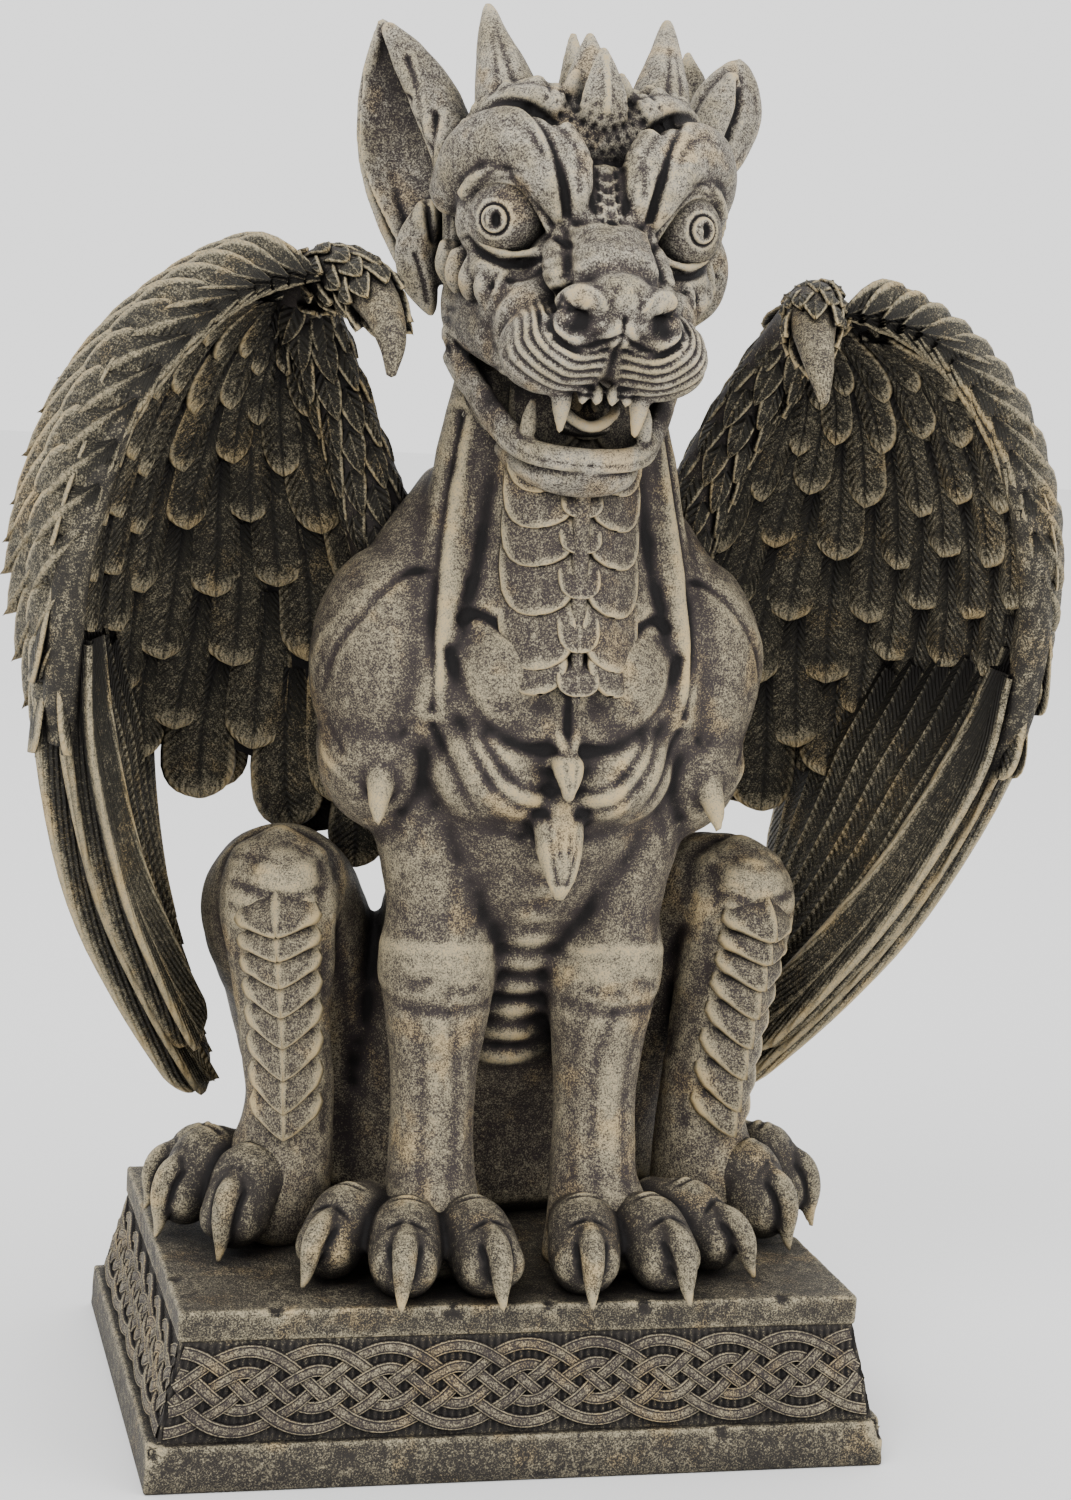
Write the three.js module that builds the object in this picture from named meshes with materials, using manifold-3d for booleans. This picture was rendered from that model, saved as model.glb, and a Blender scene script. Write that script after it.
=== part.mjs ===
// A seated winged gargoyle, cast in one piece with its knotwork plinth.
// Millimetres, +Z up, the statue faces -Y, and the origin is the middle of its underside.
import * as THREE from "three";
import { mergeVertices } from "three/addons/utils/BufferGeometryUtils.js";
import Module from "manifold-3d";

const wasm = await Module();
wasm.setup();

// Plinth: a foot block, a sloped frieze with knotwork, and a slab on top.
const plinthWidth = 225;
const plinthDepth = 156;
const footHeight = 14;
const friezeHeight = 28;
const slabHeight = 9;
const friezeSetback = 3.5;
const friezeSlope = 6.5;
const slabOverhang = 1;
const knotPitch = 20.5;
const strandWidth = 3.9;
const strandRelief = 1.1;
const knotMargin = 1.2;

// Figure: its height above the plinth, and how far it sits to the right of the plinth's middle.
const figureHeight = 381;
const figureShift = 4;
const wingThickness = 7;
const covertRows = 6;
const covertsAcross = 5;
const covertRelief = 3;
const rimFeathers = 9;
const throatRows = 6;
const shinRows = 6;
const scaleRelief = 3;
const frillPoints = 3;
const flightFeathers = 5;
const flightThickness = 4;
const flightRelief = 2.4;
const leadingThickness = 17;

// The carving is drawn 381 high, and follows the figure's height.
const drawnHeight = 381;
const carveScale = figureHeight / drawnHeight;
const plinthTop = footHeight + friezeHeight + slabHeight;

const V = (p) => new THREE.Vector3(p[0], p[1], p[2]);
const mirrored = (p) => [-p[0], ...p.slice(1)];
const mix = (a, b, t) => a + (b - a) * t;

// A closed geometry as a solid that can be joined, facing outwards.
function solidOf(geometry) {
  const bare = new THREE.BufferGeometry();
  const loose = geometry.index ? geometry.toNonIndexed() : geometry;
  bare.setAttribute("position", loose.getAttribute("position"));
  const merged = mergeVertices(bare, 1e-4);
  const vertProperties = new Float32Array(merged.attributes.position.array);
  const triVerts = new Uint32Array(merged.index.array);
  const made = new wasm.Manifold(new wasm.Mesh({ numProp: 3, vertProperties, triVerts }));
  if (made.volume() > 0) return made;
  for (let i = 0; i < triVerts.length; i += 3) {
    [triVerts[i + 1], triVerts[i + 2]] = [triVerts[i + 2], triVerts[i + 1]];
  }
  return new wasm.Manifold(new wasm.Mesh({ numProp: 3, vertProperties, triVerts }));
}

// Skins rings of points into one closed geometry. The ends close on poles.
function skinned(rings, firstPole, lastPole) {
  const points = [firstPole, ...rings.flat(), lastPole];
  const sides = rings[0].length;
  const at = (ring, k) => 1 + ring * sides + (k % sides);
  const index = [];
  for (let k = 0; k < sides; k++) {
    index.push(0, at(0, k + 1), at(0, k));
    index.push(points.length - 1, at(rings.length - 1, k), at(rings.length - 1, k + 1));
    for (let r = 0; r + 1 < rings.length; r++) {
      index.push(at(r, k), at(r, k + 1), at(r + 1, k));
      index.push(at(r, k + 1), at(r + 1, k + 1), at(r + 1, k));
    }
  }
  return new THREE.BufferGeometry().setFromPoints(points).setIndex(index);
}

// A limb through stations [x, y, z, half width, half depth], with rounded or pointed ends.
function limb(stations, { sides = 10, across = [1, 0, 0], blunt = 0.6, tip = 0.6 } = {}) {
  const centres = stations.map(V);
  const rings = [];
  const last = centres.length - 1;
  const tangent = (i) =>
    centres[Math.min(i + 1, last)].clone().sub(centres[Math.max(i - 1, 0)]).normalize();
  stations.forEach((station, i) => {
    const along = tangent(i);
    const side = V(across).addScaledVector(along, -V(across).dot(along)).normalize();
    const front = new THREE.Vector3().crossVectors(along, side);
    const [halfWidth, halfDepth] = [station[3], station[4] ?? station[3]];
    const ring = [];
    for (let k = 0; k < sides; k++) {
      const angle = (2 * Math.PI * (k + 0.5)) / sides;
      ring.push(
        centres[i].clone()
          .addScaledVector(side, halfWidth * Math.cos(angle))
          .addScaledVector(front, halfDepth * Math.sin(angle)),
      );
    }
    rings.push(ring);
  });
  const start = centres[0].clone().addScaledVector(tangent(0), -blunt * stations[0][3]);
  const end = centres[last].clone().addScaledVector(tangent(last), tip * stations[last][3]);
  return solidOf(skinned(rings, start, end));
}

// An egg-shaped mass at a point, with three radii and turns about X, Y and Z in degrees.
function mass(centre, radii, turn = [0, 0, 0], [around, down] = [10, 7]) {
  const egg = new THREE.SphereGeometry(1, around, down);
  const turns = turn.map(THREE.MathUtils.degToRad);
  const rotation = new THREE.Quaternion().setFromEuler(new THREE.Euler(...turns));
  egg.applyMatrix4(new THREE.Matrix4().compose(V(centre), rotation, V(radii)));
  return solidOf(egg);
}

// A feather, scale or leaf: a ridged plate from its root to its tip, lying on a surface
// whose outward direction is given. Shape holds [share of length, share of width] pairs.
const roundTip = [[0, 0.8], [0.8, 0.9]];
function plate(root, tip, outward, width, thickness, shape = roundTip, bend = 0) {
  const length = tip.clone().sub(root);
  const side = new THREE.Vector3().crossVectors(outward, length).normalize();
  const up = new THREE.Vector3().crossVectors(length, side).normalize();
  const place = (t, across, rise) =>
    root.clone().addScaledVector(length, t)
      .addScaledVector(side, (across * width) / 2)
      .addScaledVector(up, rise * thickness + bend * Math.sin(Math.PI * t));
  const rings = shape.map(([t, w]) => [
    place(t, -w, 0), place(t, 0, 0.55), place(t, w, 0), place(t, 0, -0.9),
  ]);
  return solidOf(skinned(rings, place(-0.04, 0, -0.2), place(1, 0, 0)));
}

// A closed shell between two sheets of points that have the same rows and columns.
function closedShell(front, back) {
  const [lines, columns] = [front.length, front[0].length];
  const points = [...front.flat(), ...back.flat()];
  const at = (line, column, side) => side * lines * columns + line * columns + column;
  const index = [];
  const quad = (a, b, c, d) => index.push(a, b, c, a, c, d);
  for (let j = 0; j + 1 < lines; j++) {
    for (let i = 0; i + 1 < columns; i++) {
      quad(at(j, i, 0), at(j, i + 1, 0), at(j + 1, i + 1, 0), at(j + 1, i, 0));
      quad(at(j, i, 1), at(j + 1, i, 1), at(j + 1, i + 1, 1), at(j, i + 1, 1));
    }
  }
  const [lastLine, lastColumn] = [lines - 1, columns - 1];
  for (let i = 0; i < lastColumn; i++) {
    quad(at(0, i, 1), at(0, i + 1, 1), at(0, i + 1, 0), at(0, i, 0));
    quad(at(lastLine, i, 0), at(lastLine, i + 1, 0), at(lastLine, i + 1, 1), at(lastLine, i, 1));
  }
  for (let j = 0; j < lastLine; j++) {
    quad(at(j, 0, 0), at(j + 1, 0, 0), at(j + 1, 0, 1), at(j, 0, 1));
    quad(at(j, lastColumn, 1), at(j + 1, lastColumn, 1), at(j + 1, lastColumn, 0), at(j, lastColumn, 0));
  }
  return solidOf(new THREE.BufferGeometry().setFromPoints(points).setIndex(index));
}

// A shell of overlapping scales or feathers. Each row rises to its tips and steps down to
// the row below. Surface gives the point at a share across and down, at a height, on a side.
function scaleShell(rows, columns, relief, shifted, surface) {
  const lines = [[() => 0, () => 0]];
  for (let row = 0; row < rows; row++) {
    const isTip = (i) => (i + (shifted ? row : 0)) % 2 === 1;
    const edge = (i) => row + (isTip(i) ? 1 : 0.5);
    lines.push([edge, (i) => relief * (isTip(i) ? 1 : 0.25)]);
    if (row < rows - 1) lines.push([(i) => edge(i) + 0.07, () => -0.2 * relief]);
  }
  const sheet = (side) =>
    lines.map(([edge, rise]) =>
      Array.from({ length: columns + 1 }, (_, i) => surface(i / columns, edge(i) / rows, rise(i), side)));
  return closedShell(sheet(1), sheet(-1));
}

// Joins both sides of a pair: make is called with a function that mirrors a point or not.
const pair = (make) => [make((p) => p), make(mirrored)].flat();

// The plinth's four-sided block between two levels.
function block(low, high, lowWidth, lowDepth, highWidth, highDepth) {
  const ring = (width, depth, z) => [
    new THREE.Vector3(-width / 2, -depth / 2, z), new THREE.Vector3(width / 2, -depth / 2, z),
    new THREE.Vector3(width / 2, depth / 2, z), new THREE.Vector3(-width / 2, depth / 2, z),
  ];
  return solidOf(
    skinned(
      [ring(lowWidth, lowDepth, low), ring(highWidth, highDepth, high)],
      new THREE.Vector3(0, 0, low), new THREE.Vector3(0, 0, high),
    ),
  );
}

const friezeWidth = plinthWidth - 2 * friezeSetback;
const friezeDepth = plinthDepth - 2 * friezeSetback;
const friezeTopWidth = friezeWidth - 2 * friezeSlope;
const friezeTopDepth = friezeDepth - 2 * friezeSlope;
const slabWidth = friezeTopWidth + 2 * slabOverhang;
const slabDepth = friezeTopDepth + 2 * slabOverhang;
const sunk = 0.6;

function plinthBody() {
  return [
    block(0, footHeight, plinthWidth, plinthDepth, plinthWidth - 1, plinthDepth - 1),
    block(footHeight - sunk, footHeight + friezeHeight + sunk,
      friezeWidth, friezeDepth, friezeTopWidth, friezeTopDepth),
    block(footHeight + friezeHeight, plinthTop, slabWidth, slabDepth, slabWidth, slabDepth),
  ];
}

// The knotwork on one face: a raised band whose ground shows in the pockets under the arcs
// and in the lozenges between the crossing strands. The back's band is left plain.
function knotBand(faceLength, topLength, slantHeight, place, plain) {
  const halfBand = slantHeight / 2 - knotMargin;
  const count = Math.round(faceLength / knotPitch);
  const pitch = faceLength / count;
  const halfTop = topLength / 2 - knotMargin;
  const halfFoot = faceLength / 2 - knotMargin;
  const raised = (points, low, high) => {
    const outline = new THREE.Shape(points.map((p) => new THREE.Vector2(...p)));
    const prism = new THREE.ExtrudeGeometry(outline, { depth: high - low, bevelEnabled: false });
    return solidOf(place(prism.translate(0, 0, low)));
  };
  const band = raised(
    [[-halfFoot, -halfBand], [halfFoot, -halfBand], [halfTop, halfBand], [-halfTop, halfBand]],
    -sunk, strandRelief,
  );
  if (plain) return band;
  const pockets = [];
  const pocketHigh = halfBand - strandWidth;
  const pocketLow = strandWidth * 0.8;
  const lozenge = strandWidth * 0.55;
  for (let i = 1; i < count; i++) {
    const x = i * pitch - faceLength / 2;
    if (Math.abs(x) > halfTop - pitch * 0.45) continue;
    for (const end of [1, -1]) {
      const low = end * pocketLow;
      const high = end * pocketHigh;
      const wide = pitch * 0.3;
      pockets.push(raised(
        [[x - wide, low], [x + wide, low], [x + wide / 2, high], [x - wide / 2, high]],
        0, 2 * strandRelief,
      ));
    }
  }
  for (let i = 0; i < count; i++) {
    const x = (i + 0.5) * pitch - faceLength / 2;
    pockets.push(raised(
      [[x - lozenge, 0], [x, -lozenge], [x + lozenge, 0], [x, lozenge]],
      0, 2 * strandRelief,
    ));
  }
  return band.subtract(wasm.Manifold.union(pockets));
}

function knotwork() {
  const slant = Math.hypot(friezeHeight, friezeSlope);
  const lean = Math.atan2(friezeSlope, friezeHeight);
  const faces = [
    [friezeWidth, friezeTopWidth, friezeDepth, 0],
    [friezeDepth, friezeTopDepth, friezeWidth, 90],
    [friezeWidth, friezeTopWidth, friezeDepth, 180],
    [friezeDepth, friezeTopDepth, friezeWidth, 270],
  ];
  return faces.map(([length, top, across, turn]) => {
    const place = (shape) =>
      shape.rotateX(Math.PI / 2 - lean)
        .translate(0, -(across - friezeSlope) / 2, footHeight + friezeHeight / 2)
        .rotateZ(THREE.MathUtils.degToRad(turn));
    return knotBand(length, top, slant, place, turn === 180);
  });
}

// Front leg: shoulder to wrist, its knee band, the tendons and the elbow spike.
function frontLegs() {
  return pair((m) => [
    limb([[32, -15, 150, 20, 21], [27.5, -17, 114, 16.5, 17], [26.5, -18, 98, 18.5, 19],
      [26.5, -18, 87, 18.5, 19.5], [26, -19, 68, 14.5, 15.5], [26, -21, 42, 12.5, 13.5],
      [26, -25, 24, 13.5, 15], [28, -32, 6, 20, 19]].map(m), { sides: 8 }),
    mass(m([50, -16, 178]), [24.5, 30, 38], [8, 0, 0], [9, 6]),
    mass(m([47, -14, 150]), [18, 22, 26], [0, 0, 0], [8, 5]),
    limb([[50, -32, 152, 5], [52, -40, 146, 4], [52.5, -44, 138, 1.6]].map(m), { sides: 6 }),
  ]);
}

// A toe with its claw: from the paw over the knuckle to the pad, then the hooked claw.
function toe(root, knuckle, pad, clawTip, size) {
  const reach = V(pad).sub(V(root)).setZ(0).normalize();
  const across = [-reach.y, reach.x, 0];
  const clawRoot = [mix(pad[0], clawTip[0], 0.25), mix(pad[1], clawTip[1], 0.1), pad[2] + size * 0.55];
  const clawMid = [mix(pad[0], clawTip[0], 0.75), mix(pad[1], clawTip[1], 0.72), pad[2] + size * 0.2];
  return [
    limb([[...root, size], [...knuckle, size * 1.05], [...pad, size * 0.98]],
      { sides: 6, across, blunt: 0.2, tip: 0.7 }),
    limb([[...clawRoot, size * 0.36], [...clawMid, size * 0.33], [...clawTip, size * 0.1]],
      { sides: 4, across, blunt: 0.2, tip: 0.5 }),
  ];
}

function paws() {
  return pair((m) => [
    toe(m([20, -34, 13]), m([17, -50, 15.5]), m([15, -60, 9.5]), m([13.5, -75, -0.5]), 11.5),
    toe(m([34, -34, 13]), m([38, -50, 15.5]), m([40, -59, 9.5]), m([44, -74, -0.5]), 11.5),
    toe(m([44, -24, 14]), m([55, -38, 17]), m([61, -46, 10]), m([70, -57, 1]), 10.5),
    toe(m([66, -6, 18]), m([80, -14, 23]), m([85, -20, 11]), m([91, -30, 1]), 11),
    toe(m([76, 8, 20]), m([92, 2, 24]), m([99, 0, 12]), m([107, -7, 1]), 10.5),
    toe(m([76, 22, 14]), m([90, 22, 20]), m([98, 23, 10]), m([107, 21, 1]), 9.5),
  ].flat());
}

// Hind leg: haunch, raised knee, shin with its row of pointed plates, and the foot.
function hindLegs() {
  const shin = [[74, -4, 118], [72, -5, 92], [69, -4, 66], [67, -3, 40]];
  const shinScales = (m) => {
    const curve = new THREE.CatmullRomCurve3(shin.map(m).map(V));
    const forward = V(m([0.25, -1, 0])).normalize();
    const side = V(m([1, 0.25, 0])).normalize();
    return scaleShell(shinRows, 2, scaleRelief, false, (across, down, rise, face) => {
      const keel = 5 * (1 - Math.abs(2 * across - 1));
      const height = (face > 0 ? 12.5 + rise + keel : 4) * mix(1, 0.85, down);
      return curve.getPoint(mix(0.08, 0.98, down))
        .addScaledVector(side, (across - 0.5) * mix(27, 20, down))
        .addScaledVector(forward, height);
    });
  };
  return pair((m) => [
    limb([[72, 2, 112, 21, 20], [68, 22, 98, 25, 27], [56, 44, 72, 25, 33], [44, 50, 34, 26, 28],
      [42, 46, 8, 26, 26]].map(m), { sides: 8, across: [1, 0.3, 0] }),
    limb([[73, -1, 122, 18, 15], [73, -3, 104, 21, 19], [71, -4, 84, 17, 16], [69, -3, 62, 14.5, 15],
      [67, -2, 40, 14, 15], [70, -2, 20, 19, 19], [74, 2, 8, 22, 22]].map(m), { sides: 8 }),
    shinScales(m),
  ]);
}

// Trunk: neck column, chest, belly and rump, with breast muscles, belly ribs, the spikes of
// the chest and the spine, and the tail.
function trunk() {
  const spine = [[10, 262], [18, 226], [24, 188], [28, 150], [42, 110]];
  const ribs = Array.from({ length: 5 }, (_, i) =>
    limb([[-13, 2 + i * 2.2, 122 - i * 12, 3, 5], [0, -5 + i * 2.4, 119 - i * 12, 3.6, 5.4],
      [13, 2 + i * 2.2, 122 - i * 12, 3, 5]],
      { sides: 5, across: [0, 1, 0] }));
  return [
    limb([[0, -16, 296, 27, 28], [0, -18, 274, 27.5, 28], [0, -16, 252, 28, 29], [0, -13, 228, 32, 31],
      [0, -11, 206, 41, 36], [0, -14, 186, 48, 40], [0, -14, 160, 49, 40], [0, -6, 136, 43, 37],
      [0, 10, 106, 40, 35], [0, 28, 72, 43, 35], [0, 37, 40, 49, 32], [0, 38, 4, 52, 29]], { sides: 10 }),
    ...spine.map(([y, z]) => limb([[0, y - 3, z, 7, 6], [0, y + 12, z + 4, 1.2, 1.2]], { sides: 4 })),
    ...pair((m) => [
      mass(m([21, -38, 172]), [21, 18, 27], [18, 0, 0], [8, 6]),
      mass(m([20, -36, 146]), [22, 22, 15], [0, 0, 0], [8, 5]),
    ]),
    ...ribs,
    limb([[0, -56, 162, 5], [0, -58, 154, 4.2], [0, -58, 147, 1.4]], { sides: 6 }),
    limb([[0, -50, 142, 7], [0, -54, 130, 6], [0, -55, 120, 2]], { sides: 7 }),
    limb([[0, 62, 30, 9], [34, 66, 14, 8], [64, 60, 9, 7], [88, 44, 8, 5.5], [92, 36, 9, 2]],
      { sides: 7, across: [0, 0, 1] }),
  ];
}

// Neck: side cords that end in points on the breast, throat scales and their keel line.
function neck() {
  const throat = new THREE.CatmullRomCurve3(
    [[0, -45, 266], [0, -46, 240], [0, -49, 215], [0, -56, 182]].map(V),
  );
  const throatScales = scaleShell(throatRows, 4, scaleRelief, false, (across, down, rise, face) => {
    const centre = throat.getPoint(down);
    const x = (across - 0.5) * 2 * mix(17, 22, down) * (down > 0.82 ? 0.8 : 1);
    return new THREE.Vector3(x, centre.y + (x * x) / 90 + (face > 0 ? -rise : 12), centre.z);
  });
  return [
    ...pair((m) => [
      limb([[30, -18, 274, 7], [31, -24, 250, 6.5], [34, -30, 226, 7], [38, -38, 204, 6],
        [40.5, -49, 176, 1]].map(m), { sides: 4 }),
    ]),
    throatScales,
    limb([[0, -47, 246, 1.6], [0, -50, 216, 1.6], [0, -56, 184, 1.2]], { sides: 4 }),
  ];
}

// Head: skull, brows, muzzle, open jaws, eyes, ears, horns and crest.
function head() {
  const skull = [
    mass([0, -20, 320], [37, 36, 32], [0, 0, 0], [10, 6]),
    mass([0, -30, 296], [35, 31, 24], [0, 0, 0], [8, 6]),
    limb([[0, -54, 320, 11, 11], [0, -68, 305, 10, 10], [0, -84, 295, 13, 8]], { sides: 6 }),
    mass([0, -84, 289], [16, 11, 8], [0, 0, 0], [8, 5]),
    mass([0, -56, 283], [29, 27, 15], [0, 0, 0], [8, 5]),
  ];
  const jaw = [
    limb([[-33, -22, 278, 5, 9], [-24, -44, 262, 4.5, 8], [-10, -60, 253, 5, 8], [10, -60, 253, 5, 8],
      [24, -44, 262, 4.5, 8], [33, -22, 278, 5, 9]], { sides: 5, across: [0, 1, 0] }),
    mass([0, -44, 250], [19, 21, 9], [-18, 0, 0], [8, 5]),
    mass([0, -50, 258], [8, 12, 4.5], [-10, 0, 0], [5, 4]),
  ];
  const sides = pair((m) => [
    mass(m([14, -73, 278]), [15, 16, 13], [0, 0, 0], [8, 5]),
    limb([[37, -32, 325, 8], [31, -48, 334, 9], [18, -58, 330, 9.5], [9, -66, 317, 7]].map(m),
      { sides: 6, across: [0, 0, 1] }),
    mass(m([26, -45, 314]), [11.5, 12, 11], [0, 0, 0], [8, 5]),
    limb([[39, -42, 308, 4.5], [28, -56, 301, 4], [14, -63, 305, 3]].map(m),
      { sides: 5, across: [0, 0, 1] }),
    limb([[12.5, -68, 272, 3.6], [13, -67, 257, 1]].map(m), { sides: 5 }),
    limb([[15, -58, 256, 2.6], [15.5, -60, 265, 0.9]].map(m), { sides: 4 }),
    limb([[26, -23, 340, 10], [27, -14, 355, 7.5], [26.5, -4, 369, 4.6], [25.5, 4, 378, 1.8]].map(m),
      { sides: 5 }),
    cheekFrill(m),
    ear(m),
  ].flat());
  const spike = (stations) => limb(stations, { sides: 4 });
  const crest = [
    spike([[0, -42, 338, 9], [0, -43, 355, 6], [0, -38, 369, 1.4]]),
    spike([[0, -31, 343, 8], [0, -28, 359, 5.5], [0, -22, 372, 1.4]]),
    spike([[0, -15, 344, 7.5], [0, -9, 358, 4.5], [0, -1, 369, 1.2]]),
    ...[0, 1].map((i) =>
      spike([[0, 10 + i * 2, 332 - i * 32, 8], [0, 26, 334 - i * 32, 1.4]])),
  ];
  const mouth = limb([[0, -84, 262, 11, 5], [0, -58, 264, 15, 5.5], [0, -30, 272, 16, 6]], { sides: 6 });
  const nostrils = pair((m) => [mass(m([9, -96, 287.5]), [4.2, 6, 3.2], [0, 0, 0], [6, 4])]);
  return { solids: [...skull, ...jaw, ...sides, ...crest], cuts: [mouth, ...nostrils] };
}

// The leafy frill below each eye: a band with four hanging points.
function cheekFrill(m) {
  const columns = 2 * frillPoints;
  const sheet = (depth) =>
    [0, 1].map((fall) =>
      Array.from({ length: columns + 1 }, (_, i) => {
        const t = i / columns;
        const drop = fall * (i % 2 === 1 ? 17 : 8);
        const out = fall * (i % 2 === 1 ? 4 : 1);
        return V(m([mix(40, 18, t) + out, mix(-34, -60, t) - out - depth, mix(306, 298, t) - drop]));
      }));
  return closedShell(sheet(2.5), sheet(-6));
}

// Ear: an upright leaf, cupped towards the front, with a lobe below.
function ear(m) {
  return [
    plate(V(m([40, -8, 292])), V(m([55, 20, 371])), V(m([0.35, -1, 0.2])), 38, 9,
      [[0.05, 0.4], [0.35, 0.95], [0.65, 0.95], [0.88, 0.45]], 2),
    limb([[38, -14, 326, 7], [41, -11, 306, 8], [44, -3, 289, 2.5]].map(m), { sides: 5 }),
  ];
}

// The wing's hollow face as a net of points, from the wrist down and from the front rim
// back to the root. The ridge carries the rim feathers, whose tips follow the outer rim.
const wingNet = [
  [[92, -36, 290], [87, -22, 293], [81, -10, 293], [75, -4, 289], [70, 0, 284]],
  [[124, -46, 273], [112, -24, 272], [99, -6, 270], [84, 5, 267], [67, 3, 266]],
  [[139, -50, 240], [130, -20, 238], [112, 8, 236], [84, 20, 236], [54, 6, 240]],
  [[145, -47, 205], [138, -12, 203], [119, 20, 199], [84, 32, 194], [42, 16, 200]],
  [[147, -40, 174], [140, -4, 170], [124, 28, 162], [92, 42, 149], [44, 30, 132]],
];
const rimRidge = [
  [88, -40, 293], [113, -50, 280], [131, -50, 257], [142, -52, 226], [146, -44, 190],
  [142, -30, 160], [130, -10, 145],
];
const rimOuter = [
  [99, -19, 300], [127, -21, 283], [143, -25, 266], [154, -31, 248], [161, -32, 222],
  [162, -30, 203], [157, -27, 180], [150, -20, 160],
];

function netPoint(net, across, down) {
  const rows = net.map((row) => new THREE.CatmullRomCurve3(row.map(V)).getPoint(across));
  return new THREE.CatmullRomCurve3(rows).getPoint(down);
}

function netNormal(net, across, down) {
  const step = 0.02;
  const along = netPoint(net, Math.min(1, across + step), down)
    .sub(netPoint(net, Math.max(0, across - step), down));
  const fall = netPoint(net, across, Math.min(1, down + step))
    .sub(netPoint(net, across, Math.max(0, down - step)));
  const normal = along.cross(fall).normalize();
  return normal.y > 0 ? normal.negate() : normal;
}

// The covert feathers, on the wing's hollow face and on its back.
function covertShell(net) {
  return scaleShell(covertRows, 2 * covertsAcross, covertRelief, true, (across, down, rise, side) => {
    const height = rise * mix(0.4, 1, down);
    const depth = side > 0 ? height : -wingThickness - height;
    return netPoint(net, across, down).addScaledVector(netNormal(net, across, down), depth);
  });
}

// The long flight feathers as one pleated fan, thicker at the leading edge, from the
// coverts down to their own tips.
function flightShell(m) {
  const columns = 2 * flightFeathers;
  const outward = V(m([-1, -0.35, 0.1])).normalize();
  const shares = [0, 0.25, 0.5, 0.75, 1];
  const sheet = (side) =>
    shares.map((share) =>
      Array.from({ length: columns + 1 }, (_, i) => {
        const t = i / columns;
        const root = V(m([mix(145, 108, t), mix(-38, 36, t), mix(186, 172, t)]));
        const elbow = V(m([mix(138, 112, t), mix(-10, 56, t), mix(116, 150, t)]));
        const tip = V(m([mix(86, 100, t), mix(46, 46, t), mix(34, 96, t)]));
        const ridge = i % 2;
        const curve = new THREE.QuadraticBezierCurve3(root, elbow, tip);
        const plain = flightThickness / 2 + (ridge ? flightRelief : 0);
        const depth = side * (i < 2 ? leadingThickness / 2 : plain) * mix(1, 0.7, share);
        return curve.getPoint(share * (ridge ? 1 : 0.93)).addScaledVector(outward, depth);
      }));
  return closedShell(sheet(1), sheet(-1));
}

// The rim feathers: a band along the leading edge whose outer border is toothed.
function rimShell(m) {
  const ridge = new THREE.CatmullRomCurve3(rimRidge.map(m).map(V));
  const outer = new THREE.CatmullRomCurve3(rimOuter.map(m).map(V));
  const outward = V(m([0.3, -1, 0.25])).normalize();
  const columns = 2 * rimFeathers;
  const sheet = (side) =>
    [0, 0.45, 1].map((share) =>
      Array.from({ length: columns + 1 }, (_, i) => {
        const t = i / columns;
        const tip = i % 2 === 1;
        const reach = share < 1 ? share : tip ? 1.06 : 0.6;
        const root = ridge.getPoint(t * 0.97);
        const end = outer.getPoint(Math.min(1, t * 0.94 + (tip ? 0.08 : 0.02)));
        const height = [5, tip ? 7 : 3.5, 1.2][share === 0 ? 0 : share < 1 ? 1 : 2];
        return root.lerp(end, reach).addScaledVector(outward, side * height);
      }));
  return closedShell(sheet(1), sheet(-1));
}

function wing(m) {
  const net = wingNet.map((row) => row.map(m));
  const arm = limb([[32, 2, 188, 13, 13], [44, 4, 212, 12, 11], [53, 5, 236, 10, 9],
    [64, 3, 262, 9, 8], [76, -7, 286, 10, 8], [74, -26, 296, 9, 8], [68, -44, 294, 8, 8],
    [64, -58, 286, 6, 5.5], [62.5, -70, 277, 4, 4],
    [63, -74, 268, 1.4]].map(m), { sides: 5, across: [1, 0.2, 0] });
  return [covertShell(net), flightShell(m), rimShell(m), arm];
}

// The figure is joined, its mouth and nostrils are cut, and it is set on the plinth.
const face = head();
const figure = wasm.Manifold.union([
  ...frontLegs(), ...paws().flat(), ...hindLegs(), ...trunk(), ...neck(), ...pair(wing), ...face.solids,
]).subtract(wasm.Manifold.union(face.cuts));
const placed = figure
  .scale([carveScale, carveScale, carveScale])
  .translate([figureShift, 0, plinthTop - sunk]);
const slabCap = block(plinthTop - slabHeight, plinthTop + figureHeight * 2,
  plinthWidth * 4, plinthWidth * 4, plinthWidth * 4, plinthWidth * 4);
const statue = wasm.Manifold.union([placed.intersect(slabCap), ...plinthBody(), ...knotwork()]);

// The joined solid as a mesh with the painted resin's own colour.
function meshOf(solid, name, material) {
  const { vertProperties, triVerts } = solid.getMesh();
  const geometry = new THREE.BufferGeometry()
    .setAttribute("position", new THREE.BufferAttribute(vertProperties, 3))
    .setIndex(new THREE.BufferAttribute(triVerts, 1));
  const mesh = new THREE.Mesh(geometry, material);
  mesh.name = name;
  return mesh;
}

const agedStone = new THREE.MeshStandardMaterial({ color: 0x6f6a5a, roughness: 0.75, metalness: 0.1 });
const gargoyle = new THREE.Group();
gargoyle.add(meshOf(statue, "gargoyle_and_plinth", agedStone));

export default gargoyle;
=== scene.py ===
import math
from collections import namedtuple
import bpy
import bmesh
import numpy as np
from mathutils import Matrix, Vector, noise


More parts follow.
